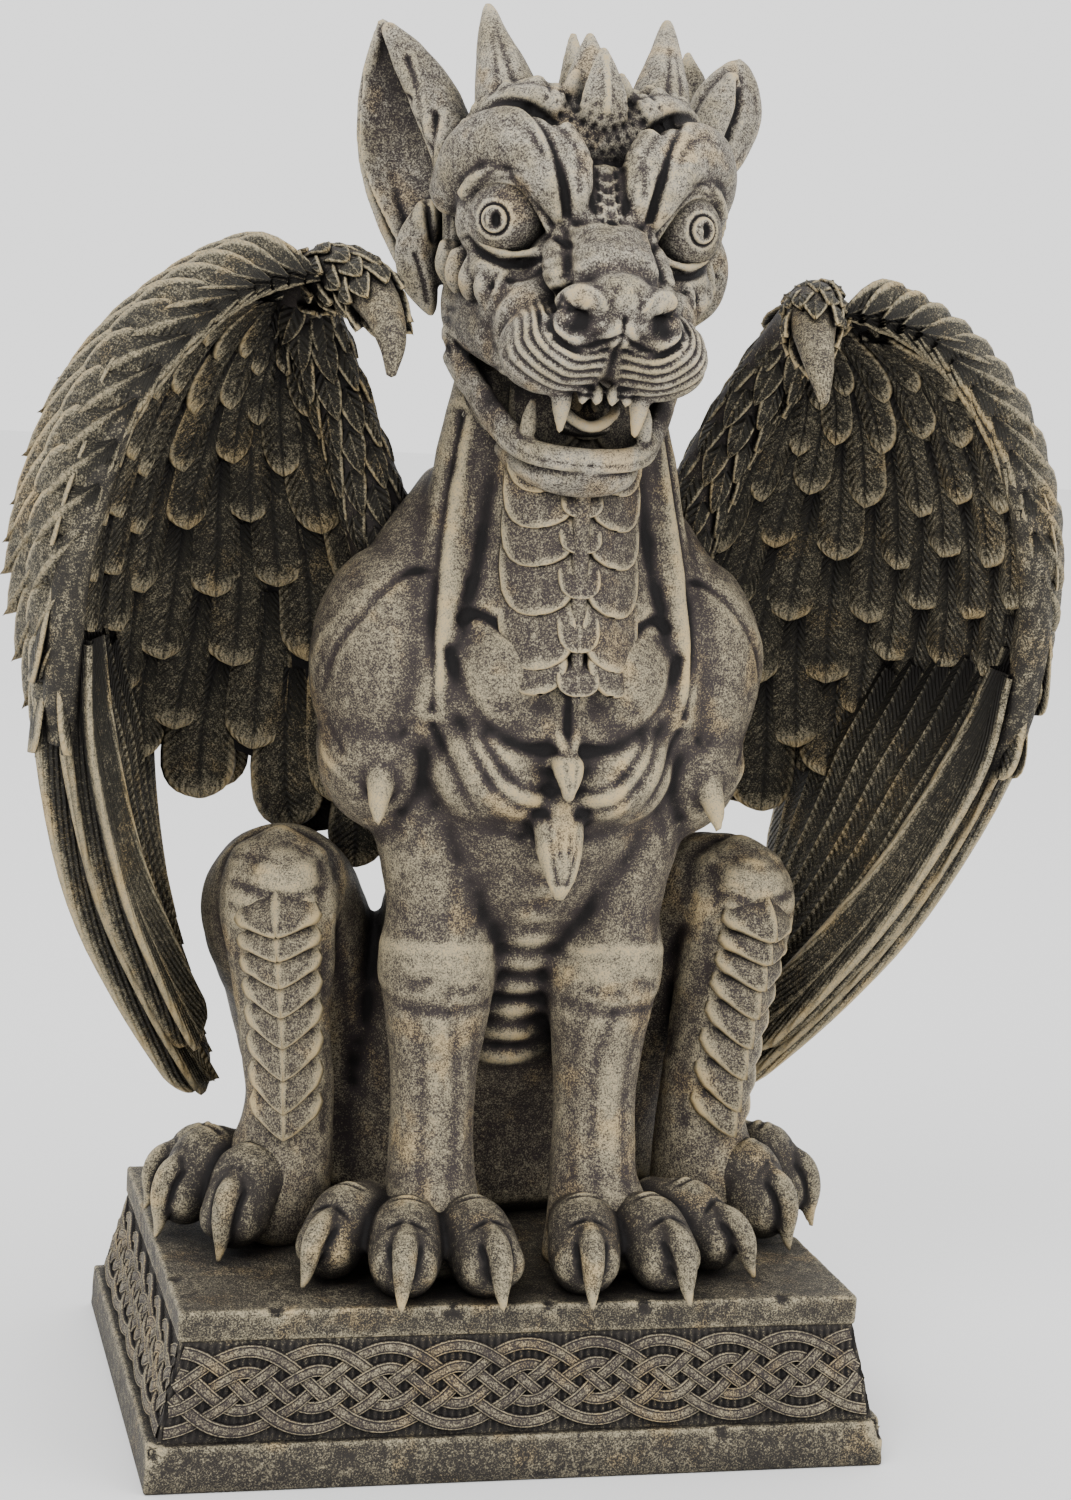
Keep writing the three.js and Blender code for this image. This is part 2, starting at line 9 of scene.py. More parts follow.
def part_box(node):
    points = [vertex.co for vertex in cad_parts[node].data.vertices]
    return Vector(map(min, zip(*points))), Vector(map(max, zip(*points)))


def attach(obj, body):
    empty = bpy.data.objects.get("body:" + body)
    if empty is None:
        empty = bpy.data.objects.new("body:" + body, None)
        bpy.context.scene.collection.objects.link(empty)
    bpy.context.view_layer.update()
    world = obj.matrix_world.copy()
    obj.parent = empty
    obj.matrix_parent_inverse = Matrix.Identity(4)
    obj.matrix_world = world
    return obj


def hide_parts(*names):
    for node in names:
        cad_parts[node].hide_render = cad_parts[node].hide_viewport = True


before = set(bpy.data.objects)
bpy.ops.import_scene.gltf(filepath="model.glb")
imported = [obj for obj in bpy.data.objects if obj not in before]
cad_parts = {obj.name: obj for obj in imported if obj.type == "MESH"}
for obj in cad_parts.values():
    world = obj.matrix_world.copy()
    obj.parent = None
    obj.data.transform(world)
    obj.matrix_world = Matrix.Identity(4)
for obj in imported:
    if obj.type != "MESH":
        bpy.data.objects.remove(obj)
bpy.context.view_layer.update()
low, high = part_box("gargoyle_and_plinth")

# The carving is drawn in millimetres over the slab, 381 high, and follows the frame's height.
carving = {
    "drawnHeight": 381.0,
    "slabTop": 51.0,       # mm over the floor
    "shiftRight": 4.0,     # mm from the plinth's middle
    "tallest": 1000 * (high[2] - low[2]),
}
figureScale = (carving["tallest"] - carving["slabTop"]) / (carving["drawnHeight"] - 2.4)


def toFrame(points):
    # drawn millimetres to metres in the frame
    spots = np.array(points, float) * figureScale
    return (spots + (carving["shiftRight"], 0, carving["slabTop"])) * 0.001


def toFrameAll(bm):
    for vert in bm.verts:
        vert.co = toFrame(vert.co)


def toDrawn(points):
    # metres in the frame back to drawn millimetres
    return (np.array(points) * 1000 - (carving["shiftRight"], 0, carving["slabTop"])) / figureScale


def onSide(points, side):
    # side 1 keeps the points, and -1 mirrors them
    return [(side * p[0], *p[1:]) for p in points]


def mirrored(points):
    return onSide(points, -1)


def mix(a, b, t):
    return a + (b - a) * t


def unit(v):
    v = np.asarray(v, float)
    return v / np.maximum(np.linalg.norm(v, axis=-1, keepdims=True), 1e-9)


def smoothPath(points, count):
    # a smooth run of count rows through the given rows, whatever they hold
    p = np.asarray(points, float)
    if len(p) == 2:
        return p[0] + (p[1] - p[0]) * np.linspace(0, 1, count)[:, None]
    p = np.vstack([2 * p[0] - p[1], p, 2 * p[-1] - p[-2]])
    t = np.linspace(0, len(points) - 1, count)
    i = np.minimum(t.astype(int), len(points) - 2)
    f = (t - i)[:, None]
    a, b, c, d = p[i], p[i + 1], p[i + 2], p[i + 3]
    return 0.5 * (2 * b + (c - a) * f + (2 * a - 5 * b + 4 * c - d) * f**2 + (3 * b - a - 3 * c + d) * f**3)


def along(rows, v):
    # rows sampled at shares v from 0 to 1
    k = np.clip(np.asarray(v), 0, 1) * (len(rows) - 1)
    i = np.minimum(k.astype(int), len(rows) - 2)
    f = (k - i)[..., None]
    return rows[i] * (1 - f) + rows[i + 1] * f


def gridShape(bm, across, down, place, weld=True):
    # a grid of faces laid over a shape: place gives the points for the shares across and down
    made = bmesh.ops.create_grid(bm, x_segments=across, y_segments=down, size=0.5)["verts"]
    flat = np.array([v.co[:] for v in made])
    spots = place(flat[:, 0] + 0.5, flat[:, 1] + 0.5)
    for vert, spot in zip(made, spots):
        vert.co = spot
    if weld:
        bmesh.ops.remove_doubles(bm, verts=made, dist=1e-4)


def limb(bm, stations, sides=16, rows=20, across=(1, 0, 0), blunt=0.6, tip=0.6, squarish=1.0):
    # stations are x, y, z, half width and half depth; the ends are rounded shut
    full = [tuple(s[:4]) + (s[4] if len(s) > 4 else s[3],) for s in stations]
    path = smoothPath(full, rows)
    run = unit(np.gradient(path[:, :3], axis=0))
    across = np.asarray(across, float)
    side = unit(across - run * (run @ across)[:, None])
    front = np.cross(run, side)
    start = path[0, :3] - run[0] * blunt * path[0, 3]
    end = path[-1, :3] + run[-1] * tip * path[-1, 3]

    def place(u, v):
        k = v * (rows + 1) - 1
        row = np.clip(np.rint(k).astype(int), 0, rows - 1)
        angle = 2 * np.pi * (u + 0.5 / sides)
        c, s = np.cos(angle), np.sin(angle)
        if squarish != 1.0:
            c, s = np.sign(c) * np.abs(c) ** squarish, np.sign(s) * np.abs(s) ** squarish
        wide, deep = (path[row, 3] * c)[:, None], (path[row, 4] * s)[:, None]
        spots = path[row, :3] + side[row] * wide + front[row] * deep
        spots[k < -0.5] = start
        spots[k > rows - 0.5] = end
        return spots

    gridShape(bm, sides, rows + 1, place)


def ball(bm, centre, radii, turn=(0, 0, 0)):
    spin = Matrix.Rotation(math.radians(turn[2]), 4, "Z") @ Matrix.Rotation(math.radians(turn[1]), 4, "Y")
    spin = spin @ Matrix.Rotation(math.radians(turn[0]), 4, "X")
    size = Matrix.Diagonal((*radii, 1))
    bmesh.ops.create_icosphere(bm, subdivisions=3, radius=1, matrix=Matrix.Translation(centre) @ spin @ size)


def pairOf(make, bm, *values, **options):
    # the same piece on the left and on the right
    first = values[0]
    if isinstance(first[0], (tuple, list)):
        make(bm, first, *values[1:], **options)
        make(bm, mirrored(first), *values[1:], **options)
    else:
        rest = values[1:]
        make(bm, first, *rest, **options)
        turned = [rest[0]] + [(t[0], -t[1], -t[2]) for t in rest[1:2]]
        make(bm, (-first[0],) + tuple(first[1:]), *turned, **options)


def meshArrays(mesh):
    verts = np.empty(len(mesh.vertices) * 3)
    mesh.vertices.foreach_get("co", verts)
    edges = np.empty(len(mesh.edges) * 2, int)
    mesh.edges.foreach_get("vertices", edges)
    return verts.reshape(-1, 3), edges.reshape(-1, 2)


def meshNormals(mesh):
    normals = np.empty(len(mesh.vertices) * 3)
    mesh.vertices.foreach_get("normal", normals)
    return normals.reshape(-1, 3)


def relaxed(values, edges, rounds, share=0.5):
    # each point moves towards the mean of its neighbours
    size = len(values)
    a, b = edges[:, 0], edges[:, 1]
    count = np.maximum(np.bincount(a, minlength=size) + np.bincount(b, minlength=size), 1)[:, None]
    out = values.copy()
    for _ in range(rounds):
        sums = []
        for k in range(out.shape[1]):
            ahead = np.bincount(a, weights=out[b, k], minlength=size)
            sums.append(ahead + np.bincount(b, weights=out[a, k], minlength=size))
        out += share * (np.stack(sums, axis=1) / count - out)
    return out


def putVerts(mesh, verts):
    mesh.vertices.foreach_set("co", verts.ravel())
    mesh.update()


def setMask(mesh, name, values):
    layer = mesh.attributes.get(name) or mesh.attributes.new(name, "FLOAT", "POINT")
    layer.data.foreach_set("value", np.asarray(values, np.float32))


def edgeMask(mesh, fine=2, broad=12, fineGain=2.2, broadGain=0.7):
    # 0 in creases, 0.5 on plain skin, 1 on edges: where a dry brush would catch
    verts, edges = meshArrays(mesh)
    verts = verts * 1000
    normals = meshNormals(mesh)
    near = relaxed(verts, edges, fine)
    far = relaxed(near, edges, broad)
    fineStep = np.einsum("ij,ij->i", verts - near, normals)
    broadStep = np.einsum("ij,ij->i", near - far, normals)
    value = 0.5 + fineGain * fineStep + broadGain * broadStep
    return np.clip(relaxed(value[:, None], edges, 1)[:, 0], 0, 1)


def pieceFrom(bm, name, material, smooth=True):
    mesh = bpy.data.meshes.new(name)
    bm.to_mesh(mesh)
    bm.free()
    piece = bpy.data.objects.new(name, mesh)
    bpy.context.scene.collection.objects.link(piece)
    mesh.polygons.foreach_set("use_smooth", [smooth] * len(mesh.polygons))
    if material:
        mesh.materials.append(material)
    return piece


def fused(bm, name, voxel, rounds, material):
    # overlapping lumps become one skin, the way clay is pressed together
    bmesh.ops.recalc_face_normals(bm, faces=bm.faces)
    toFrameAll(bm)
    rough = pieceFrom(bm, name + "Rough", None)
    remesh = rough.modifiers.new("skin", "REMESH")
    remesh.mode = "VOXEL"
    remesh.voxel_size = voxel * 0.001
    view = bpy.context.evaluated_depsgraph_get()
    mesh = bpy.data.meshes.new_from_object(rough.evaluated_get(view))
    bpy.data.objects.remove(rough)
    mesh.name = name
    verts, edges = meshArrays(mesh)
    putVerts(mesh, relaxed(verts, edges, rounds))
    mesh.polygons.foreach_set("use_smooth", [True] * len(mesh.polygons))
    mesh.materials.append(material)
    piece = bpy.data.objects.new(name, mesh)
    bpy.context.scene.collection.objects.link(piece)
    return piece


def thinned(piece, most):
    # smooth stretches of skin get fewer, larger faces, up to so many triangles in all
    mesh = piece.data
    count = sum(len(face.vertices) - 2 for face in mesh.polygons)
    fewer = piece.modifiers.new("fewer", "DECIMATE")
    fewer.ratio = min(1.0, most / count)
    view = bpy.context.evaluated_depsgraph_get()
    dressed = piece.evaluated_get(view)
    piece.data = bpy.data.meshes.new_from_object(dressed, preserve_all_data_layers=True, depsgraph=view)
    piece.modifiers.clear()
    bpy.data.meshes.remove(mesh)
    piece.data.name = piece.name
    return piece


def carve(piece, strokes, look=(0, -1, 0), slack=0.35):
    # strokes are (points, width, depth) in drawn millimetres; a negative depth raises a ridge.
    # distance along the look direction counts less, so a stroke only has to lie near the skin.
    mesh = piece.data
    verts, edges = meshArrays(mesh)
    normals = meshNormals(mesh)
    drawn = toDrawn(verts)
    look = unit(look)
    squeeze = np.eye(3) - (1 - slack) * np.outer(look, look)
    flatVerts = drawn @ squeeze
    facing = np.clip(normals @ look * 3 + 1.2, 0, 1)
    move = np.zeros(len(drawn))
    for points, width, depth in strokes:
        line = smoothPath(points, max(2, 5 * (len(points) - 1) + 1))
        if line.shape[1] == 3:
            line = np.column_stack([line, np.ones(len(line))])
        strength = line[:, 3]
        line = line[:, :3] @ squeeze
        reach = 2.6 * width
        near = np.all((flatVerts > line.min(0) - reach) & (flatVerts < line.max(0) + reach), axis=1)
        index = np.nonzero(near & (facing > 0))[0]
        if not len(index):
            continue
        best = np.full(len(index), 1e9)
        force = np.ones(len(index))
        for k in range(len(line) - 1):
            a, run = line[k], line[k + 1] - line[k]
            t = np.clip((flatVerts[index] - a) @ run / max(run @ run, 1e-9), 0, 1)
            gap = np.linalg.norm(flatVerts[index] - a - t[:, None] * run, axis=1)
            closer = gap < best
            best[closer] = gap[closer]
            force[closer] = mix(strength[k], strength[k + 1], t[closer])
        move[index] -= depth * force * facing[index] * np.exp(-(best / width) ** 2)
    putVerts(mesh, verts + normals * (move * figureScale * 0.001)[:, None])


def grain(piece, size, depth, seed=0.0):
    # fine unevenness of the cast surface
    mesh = piece.data
    verts, edges = meshArrays(mesh)
    normals = meshNormals(mesh)
    step = np.array([noise.noise(Vector(v) * (1000 / size) + Vector((seed, seed, seed))) for v in verts])
    putVerts(mesh, verts + normals * (step * depth * 0.001)[:, None])


# Camera at the photograph's viewing angle
viewpoint = {
    "place": (-0.2131, -0.8258, 0.3361),
    "headingDegrees": 15.031,
    "tiltDegrees": -8.673,
    "rollDegrees": 3.932,
    "lens": 66.73,
    "sensor": 36,
}


def makeCamera():
    data = bpy.data.cameras.new("camera")
    camera = bpy.data.objects.new("camera", data)
    bpy.context.scene.collection.objects.link(camera)
    yaw, pitch, roll = (math.radians(viewpoint[k]) for k in ("headingDegrees", "tiltDegrees", "rollDegrees"))
    forward = Vector((math.sin(yaw) * math.cos(pitch), math.cos(yaw) * math.cos(pitch), math.sin(pitch)))
    right = Vector((math.cos(yaw), -math.sin(yaw), 0))
    up = right.cross(forward)
    turnedRight = right * math.cos(roll) + up * math.sin(roll)
    turnedUp = up * math.cos(roll) - right * math.sin(roll)
    facing = Matrix((turnedRight, turnedUp, -forward)).transposed().to_quaternion()
    camera.matrix_world = Matrix.LocRotScale(Vector(viewpoint["place"]), facing, None)
    data.lens = viewpoint["lens"]
    data.sensor_width = viewpoint["sensor"]
    data.clip_start = 0.01
    bpy.context.scene.camera = camera


makeCamera()
print("camera set")

# Finish of the cast: near-black wash in the creases, brown over it, and a grainy dry brush of olive, grey and ochre
# that catches the high points. The near-black is also painted shade: ambient occlusion lays it in hollows and keeps
# the brush off them, and it is painted into the mouth and nostrils.
patina = {
    # near-black: the wash in creases, and painted shade in occluded hollows, the mouth and the nostrils
    "washAndShade": (0.006, 0.005, 0.005),
    "body": (0.036, 0.028, 0.027),
    "olive": (0.34, 0.295, 0.195),
    "grey": (0.45, 0.425, 0.36),
    "ochre": (0.50, 0.365, 0.175),
    "wingBody": (0.022, 0.020, 0.016),
    "grainPerMetre": 1900,
    "speckle": (2.1, -1.05),     # gain and shift of each share of the brush
    "blotch": (0.6, -0.3),
    "patches": (0.3, -0.15),
    "lightness": (0.16, -0.08),
    "catch": (0.44, 0.92),       # where the brush starts to catch and is full
    "rim": (0.82, 1.12),
    "crease": (0.10, 0.46),
    # occlusion range over which the painted shade fades out
    "hollow": (0.25, 0.95),
    "rimShare": 0.7,
    "warmShare": 0.65,
    "shadeReach": 0.012,         # m
    "roughness": 0.6,
    "specular": 0.16,
    "bump": 0.00045,             # m
    "bumpStrength": 0.9,
}


def noiseNode(tree, scale, detail=4, rough=0.6, seed=0.0):
    spot = tree.nodes.new("ShaderNodeTexCoord")
    shift = tree.nodes.new("ShaderNodeMapping")
    shift.inputs["Location"].default_value = (seed, seed * 0.7, -seed)
    tree.links.new(spot.outputs["Object"], shift.inputs["Vector"])
    field = tree.nodes.new("ShaderNodeTexNoise")
    field.inputs["Scale"].default_value = scale
    field.inputs["Detail"].default_value = detail
    field.inputs["Roughness"].default_value = rough
    tree.links.new(shift.outputs["Vector"], field.inputs["Vector"])
    return field.outputs["Fac"]


def mathNode(tree, kind, *values):
    node = tree.nodes.new("ShaderNodeMath")
    node.operation = kind
    for socket, value in zip(node.inputs, values):
        if isinstance(value, (int, float)):
            socket.default_value = value
        else:
            tree.links.new(value, socket)
    return node.outputs[0]


def stepNode(tree, value, edges):
    node = tree.nodes.new("ShaderNodeMapRange")
    node.interpolation_type = "SMOOTHSTEP"
    tree.links.new(value, node.inputs["Value"])
    node.inputs["From Min"].default_value, node.inputs["From Max"].default_value = edges
    return node.outputs["Result"]


def mixColour(tree, share, first, second):
    node = tree.nodes.new("ShaderNodeMix")
    node.data_type = "RGBA"
    tree.links.new(share, node.inputs[0])
    for socket, value in ((node.inputs[6], first), (node.inputs[7], second)):
        if isinstance(value, tuple):
            socket.default_value = (*value, 1)
        else:
            tree.links.new(value, socket)
    return node.outputs[2]


def attributeNode(tree, name):
    node = tree.nodes.new("ShaderNodeAttribute")
    node.attribute_name = name
    return node


def barbWaves(tree, height, softGrain):
    # slanting barbs on both sides of a feather's middle line
    parts = tree.nodes.new("ShaderNodeSeparateXYZ")
    tree.links.new(attributeNode(tree, "barb").outputs["Vector"], parts.inputs[0])
    offset = mathNode(tree, "ABSOLUTE", parts.outputs[0])
    wobbly = mathNode(tree, "MULTIPLY", softGrain, 2.6)
    phase = mathNode(tree, "MULTIPLY_ADD", offset, -1.1, parts.outputs[1])
    phase = mathNode(tree, "MULTIPLY_ADD", phase, 2.3, wobbly)
    return mathNode(tree, "MULTIPLY_ADD", mathNode(tree, "SINE", phase), 0.9, height)


def makePatina(name, barbs=False):
    material = bpy.data.materials.new(name)
    material.use_nodes = True
    tree = material.node_tree
    tree.nodes.clear()
    shader = tree.nodes.new("ShaderNodeBsdfPrincipled")
    output = tree.nodes.new("ShaderNodeOutputMaterial")
    tree.links.new(shader.outputs[0], output.inputs["Surface"])
    edge = attributeNode(tree, "edge").outputs["Fac"]
    tone = attributeNode(tree, "tone").outputs["Fac"]   # 0 wing, 0.5 body, 1 head
    scale = patina["grainPerMetre"]
    fineGrain = noiseNode(tree, scale, 5, 0.75)
    softGrain = noiseNode(tree, scale * 0.22, 4, 0.65, 3.1)
    patches = noiseNode(tree, 34, 3, 0.55, 7.7)
    hue = noiseNode(tree, 60, 3, 0.6, 12.3)
    # painted shade: ambient occlusion darkens the colour to the near-black in hollows and under overhangs, and
    # keeps the dry brush and its ochre rim off them
    shade = tree.nodes.new("ShaderNodeAmbientOcclusion")
    shade.samples = 8
    shade.inputs["Distance"].default_value = patina["shadeReach"]
    unshadedShare = stepNode(tree, shade.outputs["AO"], patina["hollow"])

    # how strongly the dry brush catches
    brush = edge
    for source, share in ((fineGrain, "speckle"), (softGrain, "blotch"), (patches, "patches"), (tone, "lightness")):
        brush = mathNode(tree, "ADD", brush, mathNode(tree, "MULTIPLY_ADD", source, *patina[share]))
    catch = mathNode(tree, "MULTIPLY", stepNode(tree, brush, patina["catch"]),
                     mathNode(tree, "MULTIPLY_ADD", unshadedShare, 0.9, 0.1))
    rim = mathNode(tree, "MULTIPLY", stepNode(tree, brush, patina["rim"]), unshadedShare)
    # creases take the real wash, and occluded places take painted shade, both in the same near-black
    crease = mathNode(tree, "MULTIPLY", stepNode(tree, edge, patina["crease"]), unshadedShare)

    body = mixColour(tree, stepNode(tree, tone, (0.1, 0.5)), patina["wingBody"], patina["body"])
    under = mixColour(tree, crease, patina["washAndShade"], body)
    greyShare = mathNode(tree, "MULTIPLY", stepNode(tree, tone, (0.45, 1.0)), stepNode(tree, hue, (0.3, 0.7)))
    dry = mixColour(tree, greyShare, patina["olive"], patina["grey"])
    warm = mathNode(tree, "MULTIPLY", stepNode(tree, hue, (0.52, 0.66)), patina["warmShare"])
    dry = mixColour(tree, warm, dry, patina["ochre"])
    colour = mixColour(tree, catch, under, dry)
    colour = mixColour(tree, mathNode(tree, "MULTIPLY", rim, patina["rimShare"]), colour, patina["ochre"])
    tree.links.new(colour, shader.inputs["Base Color"])
    shader.inputs["Roughness"].default_value = patina["roughness"]
    shader.inputs["Specular IOR Level"].default_value = patina["specular"]

    height = mathNode(tree, "MULTIPLY_ADD", fineGrain, 0.7, mathNode(tree, "MULTIPLY", softGrain, 0.8))
    if barbs:
        height = barbWaves(tree, height, softGrain)
    bump = tree.nodes.new("ShaderNodeBump")
    bump.inputs["Distance"].default_value = patina["bump"]
    bump.inputs["Strength"].default_value = patina["bumpStrength"]
    tree.links.new(height, bump.inputs["Height"])
    tree.links.new(bump.outputs[0], shader.inputs["Normal"])
    return material


agedResin = makePatina("agedResin")
featherResin = makePatina("featherResin", barbs=True)
print("finishes made")

# Trunk, legs and neck
trunk = {
    "core": [(0, -14, 292, 26, 27), (0, -15, 272, 29, 27), (0, -14, 252, 31, 28), (0, -13, 232, 34, 30),
             (0, -12, 212, 40, 34), (0, -13, 190, 48, 38), (0, -14, 164, 49, 38), (0, -7, 138, 42, 36),
             (0, 10, 106, 37, 34), (0, 28, 72, 42, 35), (0, 37, 40, 49, 32), (0, 38, 6, 52, 29)],
    "voxel": 1.3,
    "softening": 9,
    "finish": 1,
    "triangles": 190000,
}


def makeTrunk():
    bm = bmesh.new()
    limb(bm, trunk["core"], sides=32, rows=48)
    # shoulders and upper arms
    pairOf(ball, bm, (47, -13, 183), (23.5, 27, 36), (5, 0, 0))
    pairOf(ball, bm, (45, -13, 156), (22, 24, 26), (0, 6, 0))
    pairOf(limb, bm, [(26, -6, 236, 11, 15), (38, -8, 216, 13, 20), (48, -12, 198, 14, 22)], sides=20, rows=14)
    # breast
    pairOf(ball, bm, (17, -36, 181), (19, 18.5, 20), (12, -24, 0))
    pairOf(ball, bm, (18, -35, 156), (20, 19, 19), (0, -16, 0))
    pairOf(ball, bm, (14, -38, 150), (15, 18, 11), (0, -12, 0))
    # folds of the neck that run out in a point over the breast
    pairOf(limb, bm, [(23, -15, 286, 7, 9), (25.5, -17, 264, 7.5, 10), (28.5, -19, 246, 8.5, 10.5),
                      (31, -23, 228, 9, 10.5), (33.5, -29, 210, 8, 10), (36.5, -36, 192, 6, 8.5),
                      (38.5, -41, 180, 3.4, 5.5), (39.5, -43, 174, 1.4, 2)],
           sides=18, rows=34)
    pairOf(ball, bm, (34, -26, 180), (16, 18.5, 29))
    pairOf(ball, bm, (27, -22, 208), (14, 16, 20))
    # front leg
    pairOf(limb, bm, [(34, -14, 154, 19, 21), (29, -16, 124, 17, 18), (27.5, -17, 108, 15.5, 16.5),
                      (27, -18, 97, 17.6, 18.4), (26.5, -18, 88, 18.2, 18.8), (26, -18.5, 78, 16.5, 17),
                      (26, -19, 60, 13.8, 14.8), (26, -21, 42, 13, 14), (26, -25, 24, 14, 15.5),
                      (27, -31, 12, 17, 18), (28, -32, 2, 19, 19)], sides=28, rows=60)
    # thigh, knee and shin of the hind leg
    pairOf(limb, bm, [(73, 1, 112, 20, 19), (68, 22, 98, 26, 27), (56, 44, 72, 26, 32), (44, 49.4, 34, 27, 27.4),
                      (42, 46, 6, 27, 26)], sides=28, rows=30, across=(1, 0.3, 0))
    pairOf(limb, bm, [(74, -1, 122, 15, 12), (74, -3, 108, 18.5, 17), (72, -4, 88, 16.5, 16),
                      (69, -3, 62, 14.5, 15), (67, -2, 40, 14, 15), (70, -2, 20, 18, 18),
                      (74, 2, 8, 20, 20)], sides=24, rows=34)
    pairOf(ball, bm, (74, -13, 113), (12, 8, 12))
    # tail round the left haunch
    limb(bm, [(0, 62, 30, 10), (34, 68, 14, 8.5), (64, 62, 9, 7.5), (88, 46, 8, 6), (93, 34, 9, 2.5)],
         sides=16, rows=30, across=(0, 0, 1))
    # ribs of the belly between the legs
    for i in range(9):
        z = 128 - i * 8.6
        y = float(np.interp(z, (40, 72, 106, 138), (4, -8, -25, -43)))
        limb(bm, [(-17, y + 6, z + 2.5, 3.2, 4), (0, y - 1, z - 1, 3.8, 5), (17, y + 6, z + 2.5, 3.2, 4)],
             sides=12, rows=12, across=(0, 0, 1))
    return bm


# Spikes that stand on the body: elbows, breast and back
spikes = {
    "elbow": [(49, -27, 158, 7, 6), (50.5, -33, 151, 5, 4.4), (52, -38, 144, 3.2, 3), (52.5, -41, 138, 1.3, 1.3)],
    "chestSmall": [(0, -50, 165, 5, 5), (0, -56, 158, 4.8, 4.4), (0, -58, 149.5, 1.8, 1.8)],
    "chestLarge": [(0, -46, 145, 8, 7), (0, -52, 135, 7.4, 6.4), (0, -55, 126, 4.8, 4.4),
                   (0, -56, 119.5, 1.7, 1.7)],
    "spine": [(10, 262), (18, 226), (24, 188), (28, 150), (42, 110)],
}

